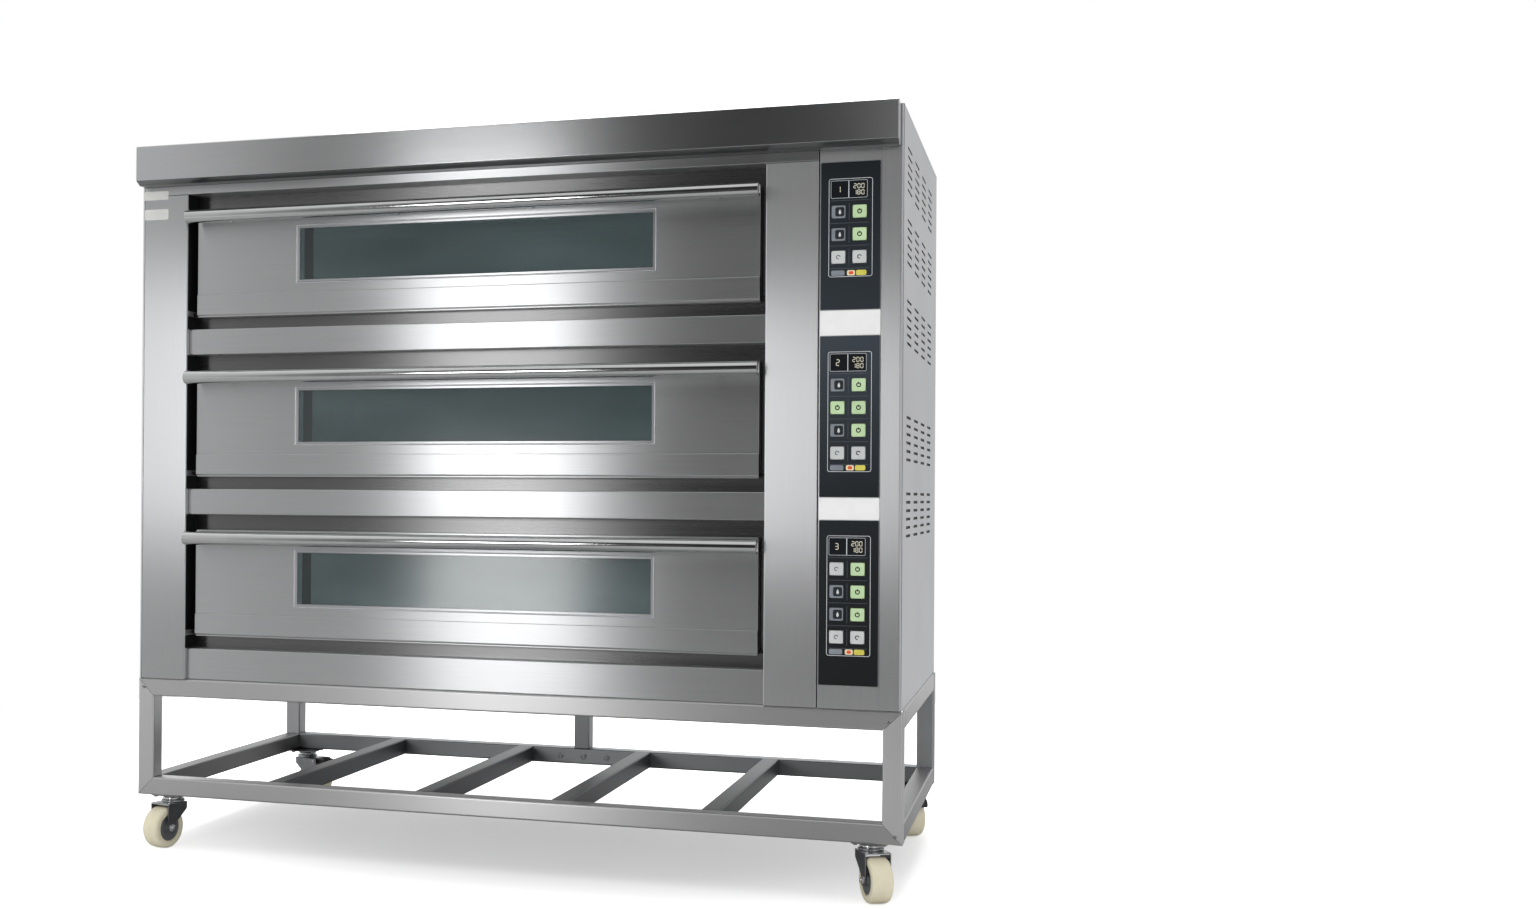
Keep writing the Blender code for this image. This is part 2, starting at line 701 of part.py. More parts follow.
def build_door(deck):
    """Bottom-hinged door: shell with stub pivots, window pane and handle bar."""
    z = door_bottom(deck)
    axis = (0.0, FRONT + PIVOT_DEPTH, z + PIVOT_RISE)
    hinge = pivot(f"door_hinge_{deck}", axis)
    face, rear = DOOR_FACE - PIVOT_DEPTH, DOOR_BACK - PIVOT_DEPTH
    low, high = -PIVOT_RISE, DOOR_HEIGHT - PIVOT_RISE
    left, right = DOOR
    s = DOOR_SKIN
    shell = piece(f"door_shell_{deck}", box_mesh(((left, face, low), (right, rear, high))), STEEL)
    shell.parent = hinge
    strip = ((left, face - STRIP_PROUD, low), (right, face + 0.001, low + STRIP_HEIGHT))
    join(shell, box_mesh(strip))
    cut(shell, box_mesh(((left + s, face + s, low + s), (right - s, rear - s, high - s))))
    window_low, window_high = (v - PIVOT_RISE for v in WINDOW_Z)
    through = ((WINDOW[0], face - 0.02, window_low), (WINDOW[1], rear + 0.02, window_high))
    cut(shell, box_mesh(through))
    for x, out in ((left, -1), (right, 1)):
        ends = sorted((x - out * 0.002, x + out * STUB_LENGTH))
        join(shell, cylinder_mesh((ends[0], 0, 0), (ends[1], 0, 0), PIVOT_RADIUS))
    margin = PANE_MARGIN
    pane_front = face + s + FIT_GAP
    pane = ((WINDOW[0] - margin, pane_front, window_low - margin),
            (WINDOW[1] + margin, pane_front + PANE_THICKNESS, window_high + margin))
    glass = piece(f"door_glass_{deck}", box_mesh(pane), GLASS)
    glass.parent = hinge
    build_handle(deck, hinge, face)


def build_handle(deck, hinge, face):
    """Full-width capped tube on four posts, welded as one, with a weep hole below."""
    y, z = face - HANDLE_REACH, HANDLE_RISE - PIVOT_RISE
    left, right = HANDLE
    bar = piece(f"door_handle_{deck}", cylinder_mesh((left, y, z), (right, y, z), HANDLE_RADIUS, 24), STEEL)
    bar.parent = hinge
    start, end = (left + HANDLE_CAP, y, z), (right - HANDLE_CAP, y, z)
    bore = cylinder_mesh(start, end, HANDLE_RADIUS - HANDLE_WALL, 24)
    middle = (left + right) / 2
    weep = cylinder_mesh((middle, y, z - HANDLE_RADIUS - 0.005), (middle, y, z), WEEP_RADIUS, 8)
    cut(bar, bore, weep)
    root = y + HANDLE_RADIUS - 0.001
    for x in HANDLE_POSTS:
        join(bar, cylinder_mesh((x, root, z), (x, face - FIT_GAP, z), POST_RADIUS, 12))


def build_liner(deck):
    """Sheet box of one baking chamber, open at the mouth."""
    z = door_bottom(deck)
    near = FRONT + FRAME_DEPTH + FIT_GAP
    far = near + CHAMBER_DEPTH
    low, high = z + LINER_Z[0], z + LINER_Z[1]
    s = SHEET
    left, right = CHAMBER
    liner = piece(f"chamber_liner_{deck}",
                  box_mesh(((left - s, near, low), (right + s, far, high))), DARK_STEEL)
    return cut(liner, box_mesh(((left, near - 0.01, low + s), (right, far - s, high - s))))


def build_hearth(deck):
    """Baking floor: a plate on two full-length ribs that stand on the liner."""
    z = door_bottom(deck)
    near = FRONT + FRAME_DEPTH + 0.004
    far = near + CHAMBER_DEPTH - 0.030
    left, right = CHAMBER[0] + 0.003, CHAMBER[1] - 0.003
    top = z + MOUTH_Z[0] - FIT_GAP
    floor = z + LINER_Z[0] + SHEET + FIT_GAP
    hearth = piece(f"hearth_plate_{deck}",
                   box_mesh(((left, near, top - HEARTH_THICKNESS), (right, far, top))), DARK_STEEL)
    for x in (left, right - HEARTH_RIB):
        join(hearth, box_mesh(((x, near, floor), (x + HEARTH_RIB, far, top - 0.001))))
    return hearth


def serpentine(left, right, near, far, z, passes):
    """Path of a rod element: passes along X joined by half turns, both ends at the back."""
    step = (far - near) / (passes - 1)
    turn = [math.radians(a) for a in (-90, -45, 0, 45, 90)]
    path = []
    for index in range(passes):
        y = far - index * step
        ahead = right if index % 2 == 0 else left
        start = left if index % 2 == 0 else right
        path.append((start, y, z))
        path.append((ahead, y, z))
        if index < passes - 1:
            out = 1 if index % 2 == 0 else -1
            middle = y - step / 2
            bend = [(ahead + out * ROD_BEND * math.cos(a), middle - step / 2 * math.sin(a), z)
                    for a in turn]
            path.extend(bend[1:-1])
    return path


def build_elements(deck):
    """Upper and lower rod elements on one terminal plate at the back wall."""
    z = door_bottom(deck)
    far = FRONT + FRAME_DEPTH + FIT_GAP + CHAMBER_DEPTH - SHEET - FIT_GAP
    inset, width, thickness = TERMINAL
    plate_x = CHAMBER[0] + inset
    low, high = z + LINER_Z[0] + SHEET + 0.0015, z + LINER_Z[1] - SHEET - 0.0015
    plate = ((plate_x, far - thickness, low), (plate_x + width, far, high))
    elements = piece(f"heating_elements_{deck}", box_mesh(plate), ELEMENT)
    left, right = CHAMBER[0] + ROD_INSET, CHAMBER[1] - ROD_INSET
    near = FRONT + FRAME_DEPTH + 0.070
    for height in (low + ROD_RADIUS + 0.0015, high - ROD_RADIUS - 0.0035):
        rows = serpentine(left, right, near, far - ROD_BACK, height, ROD_PASSES)
        join(elements, tube_mesh(rows, ROD_RADIUS))
    return elements


# ---------------------------------------------------------------- assembly


def main():
    build_stand()
    build_castors()
    build_side_panel("left_panel", -1)
    cut(build_side_panel("right_panel", 1), box_mesh(*vent_boxes()))
    build_rear_base_panel()
    build_hood()
    build_front_frame()
    build_control_column()
    build_keys()
    for deck in DECKS:
        build_overlay(deck)
        build_door(deck)
        build_liner(deck)
        build_hearth(deck)
        build_elements(deck)


clear_scene()
PARTS = new_collection("deck_oven")
CUTTERS = new_collection("cutters", hidden=True)
main()
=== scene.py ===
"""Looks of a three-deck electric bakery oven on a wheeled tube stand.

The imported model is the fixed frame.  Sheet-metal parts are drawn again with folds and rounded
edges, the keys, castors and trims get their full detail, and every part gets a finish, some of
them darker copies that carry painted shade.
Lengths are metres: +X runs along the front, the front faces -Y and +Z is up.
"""

import json
import logging
import math
from collections.abc import Callable, Iterable, Sequence
from dataclasses import dataclass
from enum import Enum
from typing import Any

import bmesh
import bpy
import numpy as np
from mathutils import Matrix, Vector


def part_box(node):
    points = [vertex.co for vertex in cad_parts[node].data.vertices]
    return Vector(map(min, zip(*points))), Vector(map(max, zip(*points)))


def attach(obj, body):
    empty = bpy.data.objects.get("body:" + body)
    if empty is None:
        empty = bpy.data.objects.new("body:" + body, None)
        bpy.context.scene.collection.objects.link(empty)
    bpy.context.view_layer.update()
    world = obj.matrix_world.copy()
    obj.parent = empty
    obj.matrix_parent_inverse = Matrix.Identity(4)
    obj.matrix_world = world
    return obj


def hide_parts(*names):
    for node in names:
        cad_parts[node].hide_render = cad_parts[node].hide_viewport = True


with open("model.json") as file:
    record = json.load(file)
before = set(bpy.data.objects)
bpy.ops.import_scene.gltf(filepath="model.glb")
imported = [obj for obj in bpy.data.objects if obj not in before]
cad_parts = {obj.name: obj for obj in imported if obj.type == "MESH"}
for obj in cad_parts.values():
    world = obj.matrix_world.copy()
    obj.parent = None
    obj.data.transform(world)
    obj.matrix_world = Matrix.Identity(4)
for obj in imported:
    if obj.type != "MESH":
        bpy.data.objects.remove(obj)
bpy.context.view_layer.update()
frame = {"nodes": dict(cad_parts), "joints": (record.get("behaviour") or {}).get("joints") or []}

log = logging.getLogger("deck_oven")
DECKS = (1, 2, 3)
CASTORS = ("front_left", "front_right", "rear_left", "rear_right")
HAIR = 0.0005
SAME = 0.0001


class Axis(Enum):
    """Direction of a bar, of a turned part or of a brushed grain."""

    X = 0
    Y = 1
    Z = 2


# ---------------------------------------------------------------- surfaces


@dataclass
class Shell:
    """One closed surface: its points, its four-sided faces and its flat end faces."""

    points: np.ndarray
    quads: np.ndarray
    caps: tuple[np.ndarray, ...] = ()

    def volume(self) -> float:
        """Signed volume: a sixth of the sum of a . (b x c) over all triangles from the origin."""
        p = self.points - self.points.mean(0)
        fans = [self.quads[:, (0, 1, 2)], self.quads[:, (0, 2, 3)]]
        for cap in self.caps:
            ring = np.stack((np.broadcast_to(cap[0], len(cap) - 2), cap[1:-1], cap[2:]), -1)
            fans.append(ring)
        a, b, c = (p[np.concatenate(fans)[:, k]] for k in range(3))
        return float((a * np.cross(b, c)).sum() / 6)

    def outward(self) -> "Shell":
        """The same surface with its faces pointing out."""
        if self.volume() >= 0:
            return self
        return Shell(self.points, self.quads[:, ::-1], tuple(cap[::-1] for cap in self.caps))

    def moved(self, place: Matrix) -> "Shell":
        """The same surface turned and moved by a rigid placement."""
        m = np.array(place)
        return Shell(self.points @ m[:3, :3].T + m[:3, 3], self.quads, self.caps)


def unit(vectors: np.ndarray) -> np.ndarray:
    """Each vector over its own length."""
    return vectors / np.linalg.norm(vectors, axis=-1, keepdims=True)


def rectangle(low: Sequence[float], high: Sequence[float]) -> np.ndarray:
    """Four corners of a rectangle, anticlockwise."""
    return np.array(((low[0], low[1]), (high[0], low[1]), (high[0], high[1]), (low[0], high[1])))


def wider(hole: Sequence[float], by: float) -> tuple[float, float, float, float]:
    """An opening (left, right, bottom, top), larger all round."""
    left, right, low, high = hole
    return left - by, right + by, low - by, high + by


def rounded(corners: Any, radius: Any, steps: int = 3) -> np.ndarray:
    """Closed outline whose corners are arcs.

    Formula: the arc that touches both sides of a corner has its centre on the bisector, at the
    radius over the sine of half the corner; its points turn evenly from one touch to the other.

    Args:
        corners: corner points in order.
        radius: one radius, or one for each corner.
        steps: straight pieces in each arc.

    Returns:
        The outline's points.
    """
    p = np.asarray(corners, float)
    r = np.broadcast_to(np.asarray(radius, float), len(p))[:, None]
    back, ahead = unit(np.roll(p, 1, 0) - p), unit(np.roll(p, -1, 0) - p)
    half = np.arccos(np.clip((back * ahead).sum(1, keepdims=True), -1, 1)) / 2
    centre = p + unit(back + ahead) * r / np.sin(half)
    start, end = (p + side * r / np.tan(half) - centre for side in (back, ahead))
    turn = (np.pi - 2 * half)[:, :, None]
    t = np.linspace(0, 1, steps + 1)[None, :, None]
    arc = (np.sin((1 - t) * turn) * start[:, None] + np.sin(t * turn) * end[:, None]) / np.sin(turn)
    return (centre[:, None] + arc).reshape(-1, 2)


def stand_up(flat: np.ndarray, along: np.ndarray, axis: Axis) -> np.ndarray:
    """Rings of a plane outline set at places along an axis.

    Args:
        flat: rings in the plane across the axis, shape (rings, points, 2).
        along: place of each ring, or of each point, on the axis.
        axis: the axis that the outline is carried along.

    Returns:
        Points of shape (rings, points, 3).
    """
    along = np.asarray(along, float)
    along = along[:, None] if along.ndim == 1 else along
    columns = [flat[..., 0], flat[..., 1]]
    columns.insert(axis.value, np.broadcast_to(along, flat.shape[:2]))
    return np.stack(columns, -1)


def skin(rings: np.ndarray, closed: bool = False) -> Shell:
    """Closed surface through rings that have equally many points.

    Formula: ring number and point number are the two parameters of a grid; the grid joins up
    round each ring, and from the last ring to the first if it is closed, or gets flat ends.
    """
    m, n, _ = rings.shape
    i, j = np.arange(m if closed else m - 1)[:, None], np.arange(n)[None, :]
    after, beside = (i + 1) % m, (j + 1) % n
    quads = np.stack((i * n + j, i * n + beside, after * n + beside, after * n + j), -1)
    caps = () if closed else (np.arange(n)[::-1], (m - 1) * n + np.arange(n))
    return Shell(rings.reshape(-1, 3), quads.reshape(-1, 4), caps).outward()


def bar(outline: np.ndarray, axis: Axis, low: float, high: float, edge: float = 0.0008,
        steps: int = 2) -> Shell:
    """Outline carried along an axis, with its two end edges rounded.

    Formula: as an angle goes from a right angle to zero, the section stands edge * (1 - sine)
    in from the end and is drawn in by edge * (1 - cosine) all round.

    Args:
        outline: plane outline across the axis.
        axis: direction of the bar.
        low: where the bar starts on the axis.
        high: where it ends.
        edge: radius of the end edges.
        steps: straight pieces in each end edge.

    Returns:
        The closed bar.
    """
    angle = np.linspace(np.pi / 2, 0, steps + 1)
    inset = np.concatenate((edge * (1 - np.cos(angle)), edge * (1 - np.cos(angle[::-1]))))
    rise = edge * (1 - np.sin(angle))
    along = np.concatenate((low + rise, (high - rise)[::-1]))
    middle = (outline.min(0) + outline.max(0)) / 2
    size = np.ptp(outline, axis=0)
    scale = (size - 2 * inset[:, None]) / size
    return skin(stand_up(middle + (outline - middle) * scale[:, None], along, axis))


def block(low: Sequence[float], high: Sequence[float], axis: Axis, radius: float = 0.0012,
          edge: float = 0.0008, steps: int = 3) -> Shell:
    """Rounded box: a rounded rectangle carried along an axis."""
    across = [k for k in range(3) if k != axis.value]
    corners = rectangle([low[k] for k in across], [high[k] for k in across])
    return bar(rounded(corners, radius, steps), axis, low[axis.value], high[axis.value], edge)


def ring_frame(sections: Iterable[Sequence[float]], steps: int = 3) -> Shell:
    """Frame with an opening, facing -Y.

    Formula: each section is a rounded rectangle (left, right, bottom, top, radius) at its own
    depth; the surface runs through the sections in turn and back to the first.
    """
    rows = list(sections)
    flat = np.stack([rounded(rectangle((left, bottom), (right, top)), radius, steps)
                     for left, right, bottom, top, radius, _ in rows])
    return skin(stand_up(flat, np.array([row[5] for row in rows]), Axis.Y), closed=True)


def turned(profile: Any, axis: Axis, centre: Sequence[float], steps: int = 32,
           closed: bool = False) -> Shell:
    """Round part. Formula: each profile point (along, radius) is a circle of that radius there."""
    p = np.asarray(profile, float)
    angle = np.arange(steps) * 2 * np.pi / steps + np.pi / steps
    circle = np.stack((np.cos(angle), np.sin(angle)), -1)
    shell = skin(stand_up(p[:, 1, None, None] * circle, p[:, 0], axis), closed)
    shell.points = shell.points + np.asarray(centre, float)
    return shell


def stroke(path: Any, width: float, face: float, depth: float = 0.00015,
           closed: bool = False) -> Shell:
    """Flat printed line on a face that looks to -Y.

    Formula: each point of the path goes half the width either way along the path's normal, in
    front and behind; the four points make the line's section.

    Args:
        path: points (x, z) of the middle of the line.
        width: the line's width.
        face: the y of the surface that it is printed on.
        depth: how far it stands proud.
        closed: whether the path ends where it starts.

    Returns:
        The closed line.
    """
    p = np.asarray(path, float)
    run = np.roll(p, -1, 0) - np.roll(p, 1, 0) if closed else np.gradient(p, axis=0)
    side = unit(np.stack((-run[:, 1], run[:, 0]), -1)) * width / 2
    corners = [(p + side, face), (p - side, face), (p - side, face - depth), (p + side, face - depth)]
    rings = np.stack([np.insert(flat, 1, y, axis=1) for flat, y in corners], 1)
    return skin(rings, closed)


def pan_screw(centre: Sequence[float], axis: Axis, out: float, radius: float) -> Shell:
    """Low domed screw head.

    Formula: a quarter of an ellipse, half as high as it is wide, is turned about the screw's axis.

    Args:
        centre: middle of the head's seat.
        axis: direction of the screw.
        out: +1 or -1, the way that the head looks.
        radius: radius of the head.

    Returns:
        The closed head.
    """
    sink, lift = 0.0002, 0.0004
    angle = np.linspace(0.5, 0.12, 4) * np.pi
    dome = [(out * (radius / 2 * math.cos(a) + lift), radius * math.sin(a)) for a in angle]
    return turned([(-out * sink, radius), *dome], axis, centre, 16)


def hexagon(centre: Sequence[float], axis: Axis, out: float, radius: float, height: float) -> Shell:
    """Chamfered hexagon head: six-sided rings, drawn in at the top edge."""
    profile = [(0.0, radius), (out * height * 0.75, radius), (out * height, radius * 0.88)]
    return turned(profile, axis, centre, 6)


def joint(name: str) -> dict[str, Any]:
    """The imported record's joint of that name."""
    return next(j for j in frame["joints"] if j["name"] == name)


# ---------------------------------------------------------------- finishes


def linear(colour: str) -> tuple[float, float, float, float]:
    """Linear colour of an sRGB hex value."""
    parts = [int(colour[k:k + 2], 16) / 255 for k in (1, 3, 5)]
    red, green, blue = (c / 12.92 if c <= 0.04045 else ((c + 0.055) / 1.055) ** 2.4 for c in parts)
    return red, green, blue, 1.0


def add(tree: bpy.types.NodeTree, kind: str, inputs: dict[Any, Any] | None = None,
        **settings: Any) -> bpy.types.Node:
    """Adds one node.

    Args:
        tree: the node tree.
        kind: the node's type.
        inputs: socket name or number, and a value for it or the socket that feeds it.
        settings: the node's own settings.

    Returns:
        The node.
    """
    node = tree.nodes.new(kind)
    for key, value in settings.items():
        setattr(node, key, value)
    for key, value in (inputs or {}).items():
        if isinstance(value, bpy.types.NodeSocket):
            tree.links.new(value, node.inputs[key])
        else:
            node.inputs[key].default_value = value
    return node


@dataclass(frozen=True)
class Finish:
    """A real surface: its name, its sRGB colour and how it shines."""

    name: str
    colour: str
    roughness: float
    metallic: float = 0.0

    def make(self) -> bpy.types.Material:
        """Builds the material: the shader with its constants, then the finish's own pattern."""
        material = bpy.data.materials.new(self.name)
        material.use_nodes = True
        tree = material.node_tree
        tree.nodes.clear()
        shader = add(tree, "ShaderNodeBsdfPrincipled", {
            "Base Color": linear(self.colour), "Roughness": self.roughness, "Metallic": self.metallic})
        add(tree, "ShaderNodeOutputMaterial", {"Surface": shader.outputs[0]})
        self.dress(tree, shader)
        return material

    def dress(self, tree: bpy.types.NodeTree, shader: bpy.types.Node) -> None:
        """Adds the finish's pattern; each kind of finish has its own."""
        raise NotImplementedError

    def noise(self, tree: bpy.types.NodeTree, scale: Sequence[float], detail: float = 2.0) -> Any:
        """Noise on the piece's own coordinates, with so many grains a metre along each axis."""
        place = add(tree, "ShaderNodeTexCoord")
        fit = add(tree, "ShaderNodeMapping", {"Vector": place.outputs["Object"], "Scale": tuple(scale)})
        made = add(tree, "ShaderNodeTexNoise", {"Vector": fit.outputs[0], "Scale": 1.0, "Detail": detail})
        return made.outputs[0]

    def spread(self, tree: bpy.types.NodeTree, value: Any, low: float, high: float,
               source: tuple[float, float] = (0.3, 0.7)) -> Any:
        """A pattern's values stretched to run from low to high."""
        made = add(tree, "ShaderNodeMapRange", {
            "Value": value, "From Min": source[0], "From Max": source[1], "To Min": low, "To Max": high})
        return made.outputs[0]

    def shade(self, tree: bpy.types.NodeTree, value: Any, dark: str, light: str) -> Any:
        """Colour that goes from dark to light with a pattern."""
        made = add(tree, "ShaderNodeMix", {"Factor": value}, data_type="RGBA")
        colours = [s for s in made.inputs if s.type == "RGBA"]
        colours[0].default_value, colours[1].default_value = linear(dark), linear(light)
        return [s for s in made.outputs if s.type == "RGBA"][0]


@dataclass(frozen=True)
class BrushedSteel(Finish):
    """Stainless sheet, ground with an abrasive belt: long fine scratches, all one way.

    The eye gets reflections that are drawn out across the grain and stay narrow along it.
    """

    metallic: float = 1.0
    grain: Axis = Axis.X
    pull: float = 0.95
    scratch_width: float = 0.0014
    scratch_length: float = 0.16
    tone: float = 0.35
    dark: str = "#c0c1c2"
    cloud: float = 0.3125
    streak_gloss: float = 0.008
    cloud_gloss: float = 0.01
    lean: tuple[float, float, float] = (0.03, 0.02, 0.025)
    relief: float = 0.008

    def dress(self, tree: bpy.types.NodeTree, shader: bpy.types.Node) -> None:
        """Scratches in colour, gloss and relief.  Real ones are 0.1 mm wide; these are 1.4 mm."""
        scale = [1 / self.scratch_width] * 3
        scale[self.grain.value] = 1 / self.scratch_length
        streaks = self.noise(tree, scale, 3.0)
        clouds = self.noise(tree, [1 / self.cloud] * 3, 1.0)
        gloss = add(tree, "ShaderNodeMath", {
            0: self.spread(tree, streaks, -self.streak_gloss, self.streak_gloss),
            1: self.spread(tree, clouds, -self.cloud_gloss, self.cloud_gloss)})
        rough = add(tree, "ShaderNodeMath", {0: gloss.outputs[0], 1: self.roughness})
        normal = add(tree, "ShaderNodeNewGeometry").outputs["Normal"]
        lay = list(self.lean)
        lay[self.grain.value] = 1.0
        across = add(tree, "ShaderNodeVectorMath", {0: normal, 1: tuple(lay)}, operation="CROSS_PRODUCT")
        relief = add(tree, "ShaderNodeBump", {"Height": streaks, "Strength": self.relief,
                                              "Distance": 0.0002})
        shader.inputs["Anisotropic"].default_value = self.pull
        tone = self.spread(tree, streaks, 1.0 - self.tone, 1.0)
        tree.links.new(self.shade(tree, tone, self.dark, self.colour), shader.inputs["Base Color"])
        tree.links.new(rough.outputs[0], shader.inputs["Roughness"])
        tree.links.new(across.outputs[0], shader.inputs["Tangent"])
        tree.links.new(relief.outputs[0], shader.inputs["Normal"])


@dataclass(frozen=True)
class Metal(Finish):
    """Bare or plated metal without a grain: cast by its colour, its gloss and soft blotches."""

    metallic: float = 1.0
    dark: str = "#8c8e90"
    patch: float = 0.012
    uneven: float = 0.06
    relief: float = 0.03

    def dress(self, tree: bpy.types.NodeTree, shader: bpy.types.Node) -> None:
        """Blotches of plating, oxide or polish, one patch wide."""
        blotches = self.noise(tree, [1 / self.patch] * 3, 3.0)
        rough = add(tree, "ShaderNodeMath", {0: self.spread(tree, blotches, -self.uneven, self.uneven),
                                             1: self.roughness})
        tree.links.new(self.shade(tree, self.spread(tree, blotches, 0.0, 1.0), self.dark, self.colour),
                       shader.inputs["Base Color"])
        tree.links.new(rough.outputs[0], shader.inputs["Roughness"])
        if self.relief:
            bump = add(tree, "ShaderNodeBump", {"Height": blotches, "Strength": self.relief,
                                                "Distance": 0.0005})
            tree.links.new(bump.outputs[0], shader.inputs["Normal"])


@dataclass(frozen=True)
class Moulded(Finish):
    """Moulded or cast plastic and rubber: an even colour with a fine spark-eroded grain."""

    dark: str = "#000000"
    grit: float = 0.0008
    relief: float = 0.12
    tone_scale: float = 38.0
    gloss: float = 0.04

    def dress(self, tree: bpy.types.NodeTree, shader: bpy.types.Node) -> None:
        """Fine grain in relief and a slow change of tone; the grit is drawn at 0.8 mm to show."""
        grain = self.noise(tree, [1 / self.grit] * 3, 2.0)
        tone = self.noise(tree, [self.tone_scale] * 3, 1.0)
        bump = add(tree, "ShaderNodeBump", {"Height": grain, "Strength": self.relief, "Distance": 0.0002})
        rough = self.spread(tree, grain, self.roughness - self.gloss, self.roughness + self.gloss)
        tree.links.new(self.shade(tree, self.spread(tree, tone, 0.0, 1.0), self.dark, self.colour),
                       shader.inputs["Base Color"])
        tree.links.new(rough, shader.inputs["Roughness"])
        tree.links.new(bump.outputs[0], shader.inputs["Normal"])


@dataclass(frozen=True)
class PrintedFilm(Finish):
    """Polyester film printed on its back, blue-black; painted reflection sets a top tone and a bottom tone.
    """

    light: str = "#3a434f"
    bottom: float = 0.0
    top: float = 1.0
    texture: float = 900.0

    def dress(self, tree: bpy.types.NodeTree, shader: bpy.types.Node) -> None:
        """Painted reflection: tone by height between the film's two ends, under a very fine matt texture."""
        place = add(tree, "ShaderNodeTexCoord")
        height = add(tree, "ShaderNodeSeparateXYZ", {0: place.outputs["Object"]}).outputs["Z"]
        rise = self.spread(tree, height, 1.0, 0.0, (self.bottom, self.top))
        grain = self.noise(tree, [self.texture] * 3, 1.0)
        bump = add(tree, "ShaderNodeBump", {"Height": grain, "Strength": 0.05, "Distance": 0.0001})
        tree.links.new(self.shade(tree, rise, self.colour, self.light), shader.inputs["Base Color"])
        tree.links.new(bump.outputs[0], shader.inputs["Normal"])


@dataclass(frozen=True)
class OvenGlass(Finish):
    """Toughened glass with a heat-reflecting coat: grey-green, part mirror, part see-through."""

    clear: float = 0.75
    ior: float = 1.6
    # lighter tint of the clouds on the pane: painted reflection
    light: str = "#93a8ab"
    lean: float = 0.095
    patches: tuple[float, float, float] = (2.5, 2.5, 9.0)

    def dress(self, tree: bpy.types.NodeTree, shader: bpy.types.Node) -> None:
        """Painted reflection as clouds of tint; the pane leans back a little in its seat, turning its gloss
        up.
        """
        shader.inputs["Transmission Weight"].default_value = self.clear
        shader.inputs["IOR"].default_value = self.ior
        clouds = self.noise(tree, self.patches, 1.0)
        normal = add(tree, "ShaderNodeNewGeometry").outputs["Normal"]
        turned_up = add(tree, "ShaderNodeVectorMath", {0: normal, 1: (0.0, 0.0, self.lean)},
                        operation="ADD")
        even = add(tree, "ShaderNodeVectorMath", {0: turned_up.outputs[0]}, operation="NORMALIZE")
        tree.links.new(self.shade(tree, self.spread(tree, clouds, 0.0, 1.0), self.colour, self.light),
                       shader.inputs["Base Color"])
        tree.links.new(even.outputs[0], shader.inputs["Normal"])
